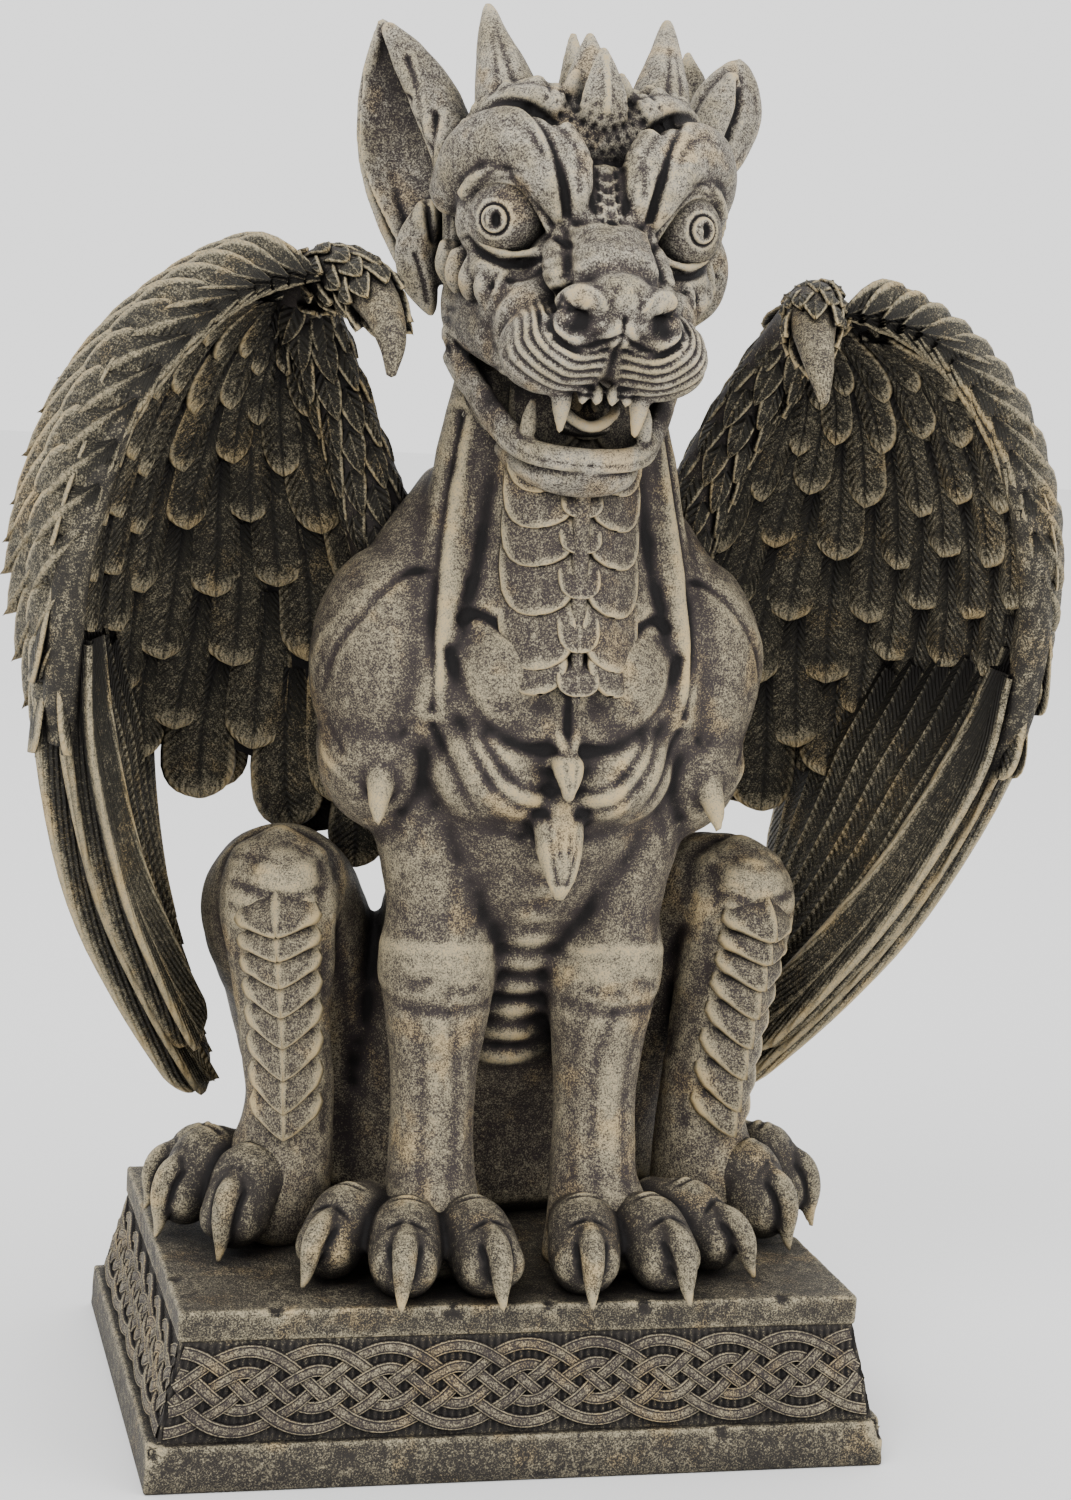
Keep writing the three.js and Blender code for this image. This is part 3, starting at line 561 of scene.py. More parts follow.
# Grooves (positive) and ridges (negative) of the body, in drawn millimetres
bodyStrokes = {
    "strapGroove": ([(32, -24, 258), (36, -30, 237), (39, -36, 217), (40, -40, 204), (40.5, -44, 192),
                     (40, -47, 182), (39, -46, 172)], 1.5, 2.2),
    "strapRidge": ([(28, -26, 262), (31.5, -30, 242), (34.5, -35, 226), (36, -39, 212), (38, -44, 196),
                    (39, -48, 180)], 1.7, -0.35),
    "strapInner": ([(22, -34, 258), (23.5, -34, 242), (25, -34, 224), (27.5, -34, 212), (31, -35, 199)], 2.2, 1.5),
    "neckFold": ([(28, -22, 266), (29, -28, 244), (30, -31, 226), (31, -33, 210)], 1.2, 0.9),
    "shoulderSeam": ([(40, -22, 215), (47, -22, 214), (55, -24, 208), (63, -24, 199), (69, -20, 188),
                      (71, -17, 176), (69.5, -18, 164), (65, -22, 154), (57, -26, 146)], 1.1, -1.0),
    "shoulderInner": ([(41, -30, 212), (46, -30, 211), (53, -32, 206), (60, -32, 197.5), (66, -29, 187),
                       (67.8, -27, 176), (66.5, -27, 166), (62, -29, 157)], 1.1, 0.9),
    "pecTop": ([(31, -37, 199), (27, -41, 201), (21, -46, 198.5), (13.5, -52, 194), (7, -56, 188), (1.5, -56, 181)],
               1.5, 1.9),
    "pecBottom": ([(35, -44, 190), (33.5, -50, 184), (30, -54, 175.5), (22.5, -56, 168), (12.5, -55, 163.5),
                   (3, -54, 163)], 2.0, 2.0),
    "midline": ([(0, -56, 186), (0, -55, 173), (0, -54, 162)], 1.7, 2.2),
    "lobeOuter": ([(38, -43, 167), (35, -45, 159), (31, -50, 150.5), (26, -53, 143), (19, -53, 137),
                   (10, -50, 135)], 2.0, 2.0),
    "lobeInner": ([(25, -54, 166), (19, -54, 157), (12.5, -55, 152.5), (4, -54, 151)], 1.7, 1.5),
    "lobeMiddle": ([(31, -52, 170), (27, -53, 160), (21, -55, 151), (13, -55, 145.5), (5, -53, 144)], 1.6, 1.3),
    "pecDent": ([(21, -56, 175), (13.5, -56, 176), (4, -54, 174)], 2.6, 0.7),
    "armFold": ([(41, -36, 168), (39, -37, 158), (40, -34, 148), (43, -32, 140)], 1.8, 1.5),
    "armFoldLow": ([(35, -38, 142), (38, -35, 136), (40, -33, 128)], 1.5, 0.9),
    "elbowFold": ([(45, -33, 165), (48, -32, 162), (50, -31, 166)], 0.9, 0.8),
    "kneeTop": ([(43, -15, 97), (40.5, -27, 98), (33, -34, 99.5), (24, -35, 99.5), (13, -28, 98)], 1.4, -0.9),
    "kneeLow": ([(42, -18, 82), (38, -28, 80), (31, -34, 80), (23, -35, 80), (13, -28, 81)], 1.8, 1.2),
    "kneeDentA": ([(37, -31, 88), (33.5, -34, 89)], 1.8, 1.3),
    "kneeDentB": ([(26.5, -36, 86), (18.5, -34, 86.5)], 1.7, 0.9),
    "tendonA": ([(36, -28, 79), (33, -31, 64), (32, -33, 49), (32, -35, 34), (33, -38, 24)], 1.3, 1.3),
    "tendonB": ([(25.5, -33, 79), (22, -33, 64), (21.5, -34, 49), (22, -37, 34), (23, -40, 24)], 1.4, 1.3),
    "tendonC": ([(17, -29, 78), (15.5, -28, 60), (16, -30, 42), (16, -34, 28)], 1.2, 0.9),
    "tendonD": ([(41, -20, 78), (39, -20, 61), (38, -22, 42), (39, -26, 27)], 1.3, 1.0),
    "tendonRidge": ([(29, -34, 76), (27, -34, 60), (27, -36, 42), (28, -40, 28)], 1.8, -0.4),
    "upperA": ([(45, -29, 139), (42, -27, 124), (40.5, -27, 109), (38, -30, 101)], 1.6, 1.1),
    "upperB": ([(29, -36, 136), (26.5, -34, 123), (28, -34, 110), (29, -35, 102)], 1.8, 0.9),
    "upperC": ([(18, -32, 132), (17, -30, 118), (17, -30, 106)], 1.5, 0.8),
    "kneeHindTop": ([(89, -4, 121), (83, -13, 122), (75, -17, 122), (65.5, -13, 124)], 1.5, 1.3),
    "kneeHindMid": ([(88, -10, 113), (82, -19, 112), (74, -21, 111), (65, -17, 113)], 1.4, 1.4),
    "kneeHindEnd": ([(89, -8, 106), (85, -17, 104), (80, -21, 98), (72, -22, 96), (66, -19, 103), (63, -13, 112)],
                    1.5, 1.5),
    "haunchFold": ([(62, -12, 120), (61.5, -14, 107), (61, -14, 96), (58, -12, 81), (53, 0, 60)], 2.0, 2.0),
    "haunchA": ([(56, -4, 99), (50, 6, 78), (46, 12, 60), (43, 16, 43)], 2.0, 1.3),
    "shinOuter": ([(88, -8, 99), (86, -9, 80), (82, -10, 62), (79, -12, 44)], 1.4, 1.1),
    "shinInner": ([(62, -14, 90), (59, -12, 72), (57, -10, 54), (58, -12, 38)], 1.4, 1.1),
}


# Toes: root, knuckle, pad and claw tip of each, on one side, and the toe's radius
toes = {
    "runs": [
        ((20, -34, 13), (17, -48, 15.5), (15, -59, 9.5), (13.5, -75.5, 0.5), 11.0),
        ((34, -34, 13), (38, -48, 15.5), (40, -58, 9.5), (44, -74.5, 0.5), 11.0),
        ((44, -24, 14), (54, -36, 17), (60, -44, 10), (70, -57, 2), 10.2),
        ((66, -6, 18), (80, -13, 23), (85, -19, 11), (91, -30, 1), 10.6),
        ((76, 8, 20), (91, 2, 24), (98, 0, 12), (107, -7, 1), 10.2),
        ((76, 22, 14), (90, 22, 20), (97, 23, 10), (107, 21, 1), 9.2),
    ],
    "voxel": 0.95,
    "clawWidth": 0.32,     # of the toe's radius
    "clawSwell": (1.0, 1.12, 1.0, 0.62, 0.2),
    "clawGroove": (0.9, 1.0, 0.95, 0.75),
    "wrinkles": (-0.1, -0.5, -0.9, -1.3),
}
toeShape = namedtuple("toeShape", "root knuckle pad size reach across up claw")


def eachToe():
    # places, size, directions and claw of every toe
    for run in toes["runs"]:
        for side in (1, -1):
            root, knuckle, pad, clawTip = (np.array(p) * (side, 1, 1) for p in run[:4])
            size = run[4]
            reach = unit((clawTip - knuckle) * (1, 1, 0))
            across = np.array((-reach[1], reach[0], 0))
            up = np.array((0, 0, 1.0))
            crown = mix(knuckle, pad, 0.45) + up * size * 0.5 + reach * size * 0.55
            claw = [crown,
                    mix(crown, clawTip, 0.3) + up * size * 0.34 + reach * size * 0.22,
                    mix(crown, clawTip, 0.6) + up * size * 0.38 + reach * size * 0.2,
                    mix(crown, clawTip, 0.85) + up * size * 0.18,
                    clawTip]
            yield toeShape(root, knuckle, pad, size, reach, across, up, claw)


def makeToes(bm):
    for toe in eachToe():
        size, high, ahead = toe.size, toe.up * toe.size, toe.reach * toe.size
        limb(bm, [(*toe.root, size), (*((toe.root + toe.knuckle) / 2), size * 0.95), (*toe.knuckle, size * 0.98),
                  (*((toe.knuckle + toe.pad) / 2), size * 1.02), (*toe.pad, size)],
             sides=20, rows=18, across=toe.across, blunt=0.2, tip=0.7)
        ball(bm, toe.knuckle + high * 0.44 - ahead * 0.1, (size * 0.56, size * 0.56, size * 0.6))
        # one round pad, with a little flesh on both sides of the claw
        ball(bm, mix(toe.knuckle, toe.pad, 0.8) + ahead * 0.12 - high * 0.04,
             (size * 0.98, size * 0.98, size * 1.08))
        for lean in (1, -1):
            beside = toe.pad + toe.across * lean * size * 0.42 + ahead * 0.34 + high * 0.06
            ball(bm, beside, (size * 0.5, size * 0.5, size * 0.62))


def makeClaws(bm):
    for toe in eachToe():
        wide = toe.size * toes["clawWidth"]
        limb(bm, [(*spot, wide * s, wide * s * 1.15) for spot, s in zip(toe.claw, toes["clawSwell"])],
             sides=16, rows=24, across=toe.across, blunt=0.5)


def toeStrokes():
    grooves = []
    for toe in eachToe():
        high, ahead, wide = toe.up * toe.size, toe.reach * toe.size, toe.across * toe.size
        for lean in (1, -1):
            # beside the claw, and the fold round its root
            side = [tuple(spot + wide * lean * 0.42 * w - toe.up) for spot, w in zip(toe.claw, toes["clawGroove"])]
            grooves.append((side, 0.9, 0.75))
            fold = [tuple(toe.claw[0] + wide * lean * w + high * h)
                    for w, h in ((0.12, 0.42), (0.5, 0.1), (0.66, -0.4))]
            grooves.append((fold, 0.8, 0.6))
        for back in toes["wrinkles"]:
            spot = toe.knuckle + high + ahead * back
            wrinkle = (spot - wide * 0.5 - toe.up * 0.8, spot + toe.reach * 0.8, spot + wide * 0.5 - toe.up * 0.8)
            grooves.append(([tuple(p) for p in wrinkle], 0.9, 0.9))
    return grooves


def firstSkin(bm, name, voxel, rounds):
    # a softened first skin that finer lumps are then pressed on
    piece = fused(bm, name, voxel, rounds, agedResin)
    bm = bmesh.new()
    bm.from_mesh(piece.data)
    for vert in bm.verts:
        vert.co = toDrawn(vert.co)
    mesh = piece.data
    bpy.data.objects.remove(piece)
    bpy.data.meshes.remove(mesh)
    return bm


def paintedBy(piece, strokes):
    # how strongly each point is touched by brush strokes of (points, width, amount)
    verts, edges = meshArrays(piece.data)
    drawn = toDrawn(verts)
    touch = np.zeros(len(drawn))
    for points, width, amount in strokes:
        line = smoothPath(points, max(2, 4 * (len(points) - 1) + 1))[:, :3]
        reach = 2.5 * width
        near = np.nonzero(np.all((drawn > line.min(0) - reach) & (drawn < line.max(0) + reach), axis=1))[0]
        if not len(near):
            continue
        gap = np.full(len(near), 1e9)
        for a, b in zip(line[:-1], line[1:]):
            run = b - a
            t = np.clip((drawn[near] - a) @ run / max(run @ run, 1e-9), 0, 1)
            gap = np.minimum(gap, np.linalg.norm(drawn[near] - a - t[:, None] * run, axis=1))
        touch[near] += amount * np.exp(-(gap / width) ** 2)
    return touch


def bothWays(strokes):
    out = []
    for points, width, depth in strokes:
        out.append((points, width, depth))
        if any(abs(p[0]) > 0.4 for p in points):
            out.append((mirrored(points), width, depth))
    return out


def setEdges(piece, touched, **rule):
    # creases and edges of the skin, and what the strokes add to them: dry-brush marks, and on the head painted
    # shade in the mouth and nostrils
    setMask(piece.data, "edge", np.clip(edgeMask(piece.data, **rule) + touched, 0, 1))


def carveBody(piece):
    soft = ("knee", "tendon", "upper", "haunch", "shin", "arm", "neck")
    lines = []
    for name, (points, width, depth) in bodyStrokes.items():
        faint = name.startswith(soft)
        weak = 0.3 if name.startswith(("tendon", "upper", "neck")) else 0.5
        lines.append((points, width * (1.35 if faint else 1.15), depth * (weak if faint else 0.8)))
    carve(piece, bothWays(lines), slack=0.3)
    # the two chest spikes are fluted
    flutes = [([(x * 0.9, -60, 146), (x, -60, 138), (x * 0.5, -58, 124)], 0.9, 1.0)
              for x in (-4.2, -1.6, 1.6, 4.2)]
    flutes += [([(x, -60, 160), (x * 0.5, -61, 153)], 0.7, 0.7) for x in (-1.8, 1.8)]
    carve(piece, flutes, slack=0.3)
    grain(piece, 9, 0.35, 5.0)
    # the back: shoulder blades, a furrow beside the spine and folds over the haunches
    backStrokes = [([(10, 12, 250), (13, 20, 220), (16, 26, 180), (18, 32, 140), (22, 46, 108)], 4.5, 2.2),
                   ([(30, 20, 232), (40, 24, 214), (44, 26, 192), (38, 28, 172), (24, 28, 160)], 3.6, 2.0),
                   ([(52, 60, 104), (66, 56, 88), (72, 50, 66), (68, 52, 44)], 3.6, 1.9),
                   ([(30, 74, 92), (42, 78, 74), (46, 78, 52), (38, 74, 30)], 3.6, 1.8)]
    # vertebrae between the spikes, and ribs under the wings
    for k in range(15):
        z = 250 - k * 12
        y = float(np.interp(z, (40, 108, 150, 188, 226, 262), (70, 44, 30, 26, 20, 12)))
        backStrokes.append(([(7, y + 2, z + 2), (3, y + 6, z - 1), (0, y + 6, z - 2)], 1.4, 1.0))
        if 100 < z < 200:
            backStrokes.append(([(20, y, z), (30, y - 6, z - 5), (40, y - 16, z - 9)], 2.0, 0.9))
    carve(piece, bothWays(backStrokes), look=(0, 1, 0), slack=0.15)


def spikeLines():
    lines = [mirrored(spikes["elbow"]), spikes["elbow"], spikes["chestSmall"], spikes["chestLarge"]]
    for y, z in spikes["spine"]:
        lines.append([(0, y - 3, z, 6, 8), (0, y + 4, z + 1.6, 4.2, 5.6), (0, y + 10, z + 3.8, 2.4, 3),
                      (0, y + 13.4, z + 5.6, 1.2, 1.2)])
    return lines


def makeBody():
    bm = firstSkin(makeTrunk(), "bodySkin", trunk["voxel"], trunk["softening"])
    for line in spikeLines():
        limb(bm, line, sides=14, rows=16)
    piece = fused(bm, "figureBody", trunk["voxel"], trunk["finish"], agedResin)
    carveBody(piece)
    spikeRidges = []
    for line in spikeLines():
        spikeRidges.append(([p[:3] for p in line[1:]], 2.4, -0.08))
    knees = [([(42, -18, 95), (34, -34, 95), (20, -34, 95), (11, -26, 94)], 6, 0.17),
             ([(30, -34, 76), (28, -36, 50)], 3, 0.04),
             ([(86, -12, 104), (74, -20, 104), (64, -14, 106)], 8, 0.12)]
    touched = paintedBy(piece, bothWays(knees) + spikeRidges)
    setEdges(piece, touched, fine=2, broad=14, fineGain=2.0, broadGain=0.42)
    return thinned(piece, trunk["triangles"])


def makePaws():
    bm = bmesh.new()
    makeToes(bm)
    bm = firstSkin(bm, "pawSkin", toes["voxel"], 5)
    makeClaws(bm)
    piece = fused(bm, "figurePaws", toes["voxel"], 1, agedResin)
    carve(piece, toeStrokes(), look=(0, -0.7, 0.7), slack=0.8)
    clawLines = []
    for toe in eachToe():
        clawLines.append(([tuple(p) for p in toe.claw[1:]], 2.4, 0.14))
        top = toe.knuckle + toe.up * toe.size
        ahead = toe.knuckle + toe.reach * 3 + toe.up * toe.size * 0.9
        clawLines.append(([tuple(top), tuple(ahead)], 4, 0.16))
    setEdges(piece, paintedBy(piece, clawLines) - 0.1, fine=2, broad=12, fineGain=2.6, broadGain=0.5)
    return piece


body = makeBody()
paws = makePaws()
print("body and paws joined", len(body.data.polygons), len(paws.data.polygons))

# Head: lumps first, then lids, teeth, frills, ears and horns, then the carving
headForm = {
    "voxel": 0.78,
    "softening": 7,
    "triangles": 190000,
    "eye": (25.5, -48.0, 314.5),
    "eyeRadius": 11.4,
    "turnDegrees": -2.4,
    "gaze": [(-0.54, -0.83, -0.09), (0.36, -0.93, 0.03)],   # left one in the picture first
    "horn": [(20.5, -26, 338, 12, 12), (22, -23, 346, 10.4, 11), (24, -18, 356, 8, 9), (26, -12, 366, 5, 5.8),
             (27, -8, 374, 2.6, 3), (27.3, -6.5, 377, 1.3, 1.4)],
    "crest": [[(0, -43, 340, 7.5, 6), (0, -49, 347, 7.4, 4.6), (0, -47, 356, 5.0, 3.2), (0, -43, 364, 1.2, 1.2)],
              [(0, -30, 346, 9.5, 8), (0, -30, 356, 7.6, 5.4), (0, -27, 363, 4.6, 3.6), (0, -24, 369.5, 1.3, 1.3)],
              [(-1, -14, 348, 6, 6), (-1, -11, 358, 4.4, 4.6), (-1, -8, 366, 2.6, 2.8), (-1, -6, 371, 1.1, 1.1)]],
}


def headLumps():
    bm = bmesh.new()
    ball(bm, (0, -14, 322), (36, 36, 32))
    ball(bm, (0, -24, 299), (34.5, 30, 24))
    ball(bm, (0, -30, 337), (31, 20.5, 16))
    pairOf(ball, bm, (25, -29, 337), (13, 13, 12))
    limb(bm, [(0, -8, 292, 28, 28), (0, -13, 274, 28, 26.5), (0, -14, 254, 28, 25)], sides=30, rows=14)
    limb(bm, [(0, 2, 310, 24, 16), (0, 2, 292, 26, 14), (0, 1, 274, 26, 12.4), (0, -1, 258, 22, 9)],
         sides=26, rows=14)
    # nose: bridge, ball and wings round the nostrils
    limb(bm, [(0, -48, 326, 9, 10), (0, -56, 314, 12, 10), (0, -68, 305, 13, 9.5), (0, -79, 299, 12.5, 8.5)],
         sides=24, rows=16)
    ball(bm, (0, -85, 294), (9.5, 9, 7))
    pairOf(ball, bm, (10.5, -84, 290), (8.6, 8.6, 7.6))
    # muzzle pads and cheeks
    ball(bm, (0, -85.5, 286), (6.5, 7, 6))
    pairOf(ball, bm, (13, -69.5, 279.5), (17.5, 17.5, 13.6), (0, 12, 0))
    pairOf(ball, bm, (12, -60, 279), (14, 18, 12.5))
    pairOf(ball, bm, (19, -50, 289), (13, 19, 12), (0, 0, -12))
    pairOf(ball, bm, (24, -43, 300), (12, 12.5, 8))
    pairOf(ball, bm, (14, -55, 303), (6.5, 7, 8))
    pairOf(ball, bm, (12.4, -56.5, 314), (4, 4.6, 6))
    pairOf(limb, bm, [(33, -14, 292, 12, 5), (30, -30, 288, 12, 6), (25, -44, 283, 11, 7), (21, -54, 280, 11, 8)],
           sides=18, rows=14, across=(0, 0, 1))
    # flesh round the eyes, and the heavy brow over them
    pairOf(ball, bm, (25, -41, 314), (14.5, 13.5, 14))
    pairOf(limb, bm, [(38, -24, 320, 8, 7), (35.5, -37, 330, 10, 8.5), (28, -46.5, 335.5, 10.5, 9.5),
                      (18, -53, 331, 10, 9.5), (10.5, -57.5, 321.5, 8, 8),
                      (7.8, -60, 314.5, 4.6, 5.5)], sides=20, rows=28, across=(0, 0, 1))
    # jaw
    limb(bm, [(0, -20, 252, 25, 10), (0, -38, 247, 21, 8), (0, -50, 243.5, 17, 7), (0, -56, 243.6, 12, 5)],
         sides=24, rows=16)
    pairOf(ball, bm, (23.5, -20, 262), (9, 15, 14))
    return bm


def eyeRing(count, out=0.0):
    # the lid's line round the eye, from the inner corner over the top and back
    ring = [(14.2, -59, 309.3), (18.5, -57.5, 316.5), (24, -55.8, 323), (30, -52, 324.3), (34.5, -46.5, 320.5),
            (35.8, -44, 314.5), (34, -48.5, 308.5), (29.5, -53.5, 305), (23.5, -56.5, 304.3), (18, -58.4, 306),
            (14.2, -59, 309.3)]
    centre = np.array(headForm["eye"])
    points = smoothPath(ring, count)
    points[:, (0, 2)] += unit((points - centre)[:, (0, 2)]) * out
    return [tuple(p) for p in points]


def tube(bm, line, radius, sides=10, rows=None):
    limb(bm, [(*p[:3], radius) for p in line], sides=sides, rows=rows or 3 * len(line), across=(0.3, 0.2, 1))


def headDetails(bm):
    # small spines down the nape
    for y, z in ((6, 340), (12, 326), (14, 306)):
        limb(bm, [(0, y, z, 4, 7), (0, y + 7, z + 2.4, 2.6, 4.2), (0, y + 12.5, z + 5, 1.2, 1.3)],
             sides=14, rows=18)
    # lids
    for side in (1, -1):
        tube(bm, onSide(eyeRing(24), side), 1.25, sides=10, rows=72)
        fold = [(side * x, y + 0.6, z) for x, y, z in eyeRing(24, 3.0)[3:11]]
        tube(bm, fold, 2.3, sides=12, rows=40)
    # heavy lobes of the brow that come down over the inner half of each eye
    pairOf(limb, bm, [(29, -50, 336, 5, 5), (23.5, -55, 332.5, 6.6, 6), (18.6, -58.6, 326.6, 6.6, 5.6),
                      (15, -61, 319.6, 4.4, 4),
                      (13.2, -62, 314.4, 2.2, 2.2)], sides=18, rows=26, across=(0.5, 0, 1))
    pairOf(limb, bm, [(14, -53, 339, 5, 5), (10.6, -58, 331, 6, 5.6), (9, -61.6, 323, 5.2, 4.8),
                      (8.4, -62.6, 317, 3, 3)],
           sides=18, rows=24, across=(1, 0, 0.3))
    pairOf(ball, bm, (11.6, -60.4, 309), (4.2, 3.8, 5))
    pairOf(limb, bm, [(11.6, -57, 310, 3.4), (13, -62, 305, 5), (14, -68, 300.4, 5), (14.6, -75, 296.6, 3.8)],
           sides=16, rows=20, across=(0, 0, 1))
    # horns and the leaves of the crest
    pairOf(limb, bm, headForm["horn"], sides=22, rows=30, squarish=0.9)
    for line in headForm["crest"]:
        limb(bm, line, sides=14, rows=20, squarish=1.25)
    pairOf(limb, bm, [(7, -37, 345, 5, 4), (7.5, -40, 352, 3.4, 2.6), (6.5, -39, 358, 1, 1)], sides=12, rows=14)
    # knobs along the hair line, and the ledge they sit on
    pairOf(limb, bm, [(36, -21, 335, 3, 3), (31, -32, 342.5, 4.6, 4), (22, -40, 347.5, 5, 4.4),
                      (12, -45, 346, 5, 4.4)],
           sides=16, rows=24, across=(0, 0, 1))
    knobs = smoothPath([(36, -20, 336), (33, -29, 343.5), (27, -35, 349), (20, -38, 351.5), (13, -41, 350)], 12)
    for k, spot in enumerate(knobs):
        size = 2.3 + 0.7 * math.sin(k * 2.3)
        pairOf(ball, bm, tuple(spot), (size, size, size * 1.2))
        pairOf(ball, bm, tuple(spot + (-1.5, 5.0, 1.8)), (size * 0.9, size * 0.9, size))
    # frill of pointed leaves under each eye
    frill = [((38, -27, 307), (38, -26, 295)), ((36, -34.5, 304.5), (36.6, -33.5, 292.5)),
             ((33, -42, 302), (34.2, -40.5, 291)), ((29.5, -49, 300), (31, -47, 289.5)),
             ((25, -54.5, 298.5), (27, -52.5, 288.5))]
    for top, tip in frill:
        top, tip = np.array(top), np.array(tip)
        middle = (top + tip) / 2 + (0.6, -1.4, 0.5)
        pairOf(limb, bm, [(*top, 3.0, 2.4), (*middle, 3.8, 3.0), (*(mix(middle, tip, 0.6)), 2.7, 2.2),
                          (*tip, 0.9, 0.9)], sides=12, rows=14)
    # lips and jaw rim
    pairOf(limb, bm, [(34, -20, 276, 5, 3), (31, -28, 269.5, 5, 3), (27, -37, 262, 5, 3), (22, -46, 254.5, 4.6, 3),
                      (17, -53.5, 250, 3.8, 3), (9, -60, 248.4, 3.6, 3),
                      (0, -62, 248, 3.6, 3)], sides=16, rows=38, across=(0, 0, 1))
    pairOf(limb, bm, [(35.5, -24, 282, 2, 2.2), (30, -37, 278.4, 2, 2.2), (24, -49, 273, 2, 2),
                      (19, -60, 268.4, 1.8, 1.8)],
           sides=10, rows=24, across=(0, 0, 1))
    pairOf(ball, bm, (35, -22, 281), (3.2, 4, 4.4))
    # teeth and tongue
    pairOf(limb, bm, [(11.2, -69, 270, 3.5, 3.4), (11.2, -69.5, 263, 2.7, 2.7), (10.8, -68.5, 256, 1, 1)],
           sides=14, rows=16)
    pairOf(limb, bm, [(17, -54, 255, 2.6), (17, -56, 260, 2), (16.6, -56.5, 264.5, 0.8)], sides=12, rows=12)
    for x in (2.2, 6.4):
        pairOf(limb, bm, [(x, -74, 269, 1.7), (x, -74.6, 266, 1.6), (x, -74, 264.6, 1)], sides=10, rows=8)
    limb(bm, [(0, -38, 259, 7.5, 3), (0, -48, 256.8, 8.4, 2.8), (0, -55, 257.6, 7.2, 2.6)], sides=18, rows=14)
    limb(bm, [(-8.4, -48, 265.5, 1.5), (-7.4, -56, 261.4, 1.7), (0, -59.4, 257.4, 1.9), (7.4, -56, 261.4, 1.7),
              (8.4, -48, 265.5, 1.5)],
         sides=10, rows=24, across=(0, 0, 1))
    makeEars(bm)


# Ears: the left one stands up as a leaf, the right one folds over
ear = {
    "left": [(37, -10, 296, 6, 1), (41, -5, 312, 12, 4), (44.5, 1, 330, 15.5, 7), (48, 6, 348, 12.5, 6),
             (52.5, 8, 362, 7, 3), (56, 7, 371, 1.6, 0.4)],
    "right": [(37, -10, 296, 6, 1), (40, -5, 310, 9, 3), (43, 0, 322, 10, 3), (46, 5, 336, 9, 2),
              (48, 8, 346, 5, 1)],
    "thickness": 3.4,
}


def leafShape(bm, stations, side, thickness):
    # stations are x, y, z, half width and cup
    rows = 40
    path = smoothPath(stations, rows)
    outer = unit((side * 0.9, 0.42, 0))
    front = unit((side * 0.42, -0.9, 0.1))

    def place(u, v):
        k = v * (rows + 1) - 1
        row = np.clip(np.rint(k).astype(int), 0, rows - 1)
        angle = 2 * np.pi * u
        c, s = np.cos(angle), np.sin(angle)
        centre = path[row, :3] * (side, 1, 1)
        depth = path[row, 4] * (c * c * 1.5 - 0.5) + s * thickness * (1 - 0.35 * v)
        spots = centre + outer * (c * path[row, 3])[:, None] + front * depth[:, None]
        spots[k < -0.5] = path[0, :3] * (side, 1, 1) - (0, 0, 1)
        spots[k > rows - 0.5] = path[-1, :3] * (side, 1, 1) + (0, 0, 1)
        return spots

    gridShape(bm, 30, rows + 1, place)


def makeEars(bm):
    leafShape(bm, ear["left"], -1, ear["thickness"])
    leafShape(bm, ear["right"], 1, ear["thickness"])
    # broad rolled rim at the front of the left ear, and its thin outer rim
    limb(bm, mirrored([(35, -21, 300, 4.4, 4), (34, -19, 316, 5.6, 5), (35.5, -14, 332, 7.4, 5.4),
                       (41, -6, 348, 8, 5), (49, 0, 361, 5.6, 4), (55.4, 4, 369.5, 2.2, 2)]), sides=18, rows=40)
    limb(bm, mirrored([(47, -1, 300, 2), (54, 3, 314, 2.1), (59, 7, 330, 2.1), (60, 10, 346, 2.1),
                       (58.5, 9, 360, 2), (56, 7, 370, 1.4)]), sides=10, rows=40)
    # the right ear lies folded over: a broad rounded leaf with a small one behind it
    limb(bm, [(37, -8, 318, 6, 5), (41, -2, 332, 9, 6), (47, 2, 344, 12, 6.5), (51, 4, 354, 12.5, 6.5),
              (53, 5, 362, 9, 5), (54, 6, 367.5, 4, 3)], sides=26, rows=40, across=(1, 0.35, 0))
    limb(bm, [(36, -15, 312, 4.4, 4), (37, -12, 328, 5, 4.4), (41, -7, 342, 5.4, 4.4), (46, -4, 354, 5, 4),
              (51, -1, 363, 3, 3)],
         sides=16, rows=36)
    limb(bm, [(42, 12, 350, 6, 3), (43, 16, 360, 5, 2.6), (41, 17, 368, 2.4, 2), (40.5, 17, 371, 1, 1)],
         sides=12, rows=16)
    # lobes
    pairOf(limb, bm, [(41, -10, 318, 4, 4), (44.5, -10, 307, 6.4, 5), (43.5, -10, 297, 6.2, 4.4),
                      (40, -9, 289, 3, 2.4), (38.6, -8, 286, 1, 1)], sides=16, rows=24)


def padDepth(x, z):
    # how far the muzzle pad comes forward at x, z
    return -69.5 - 17.5 * math.sqrt(max(0.05, 1 - ((x - 13) / 17.8) ** 2 - ((z - 279.5) / 14) ** 2))


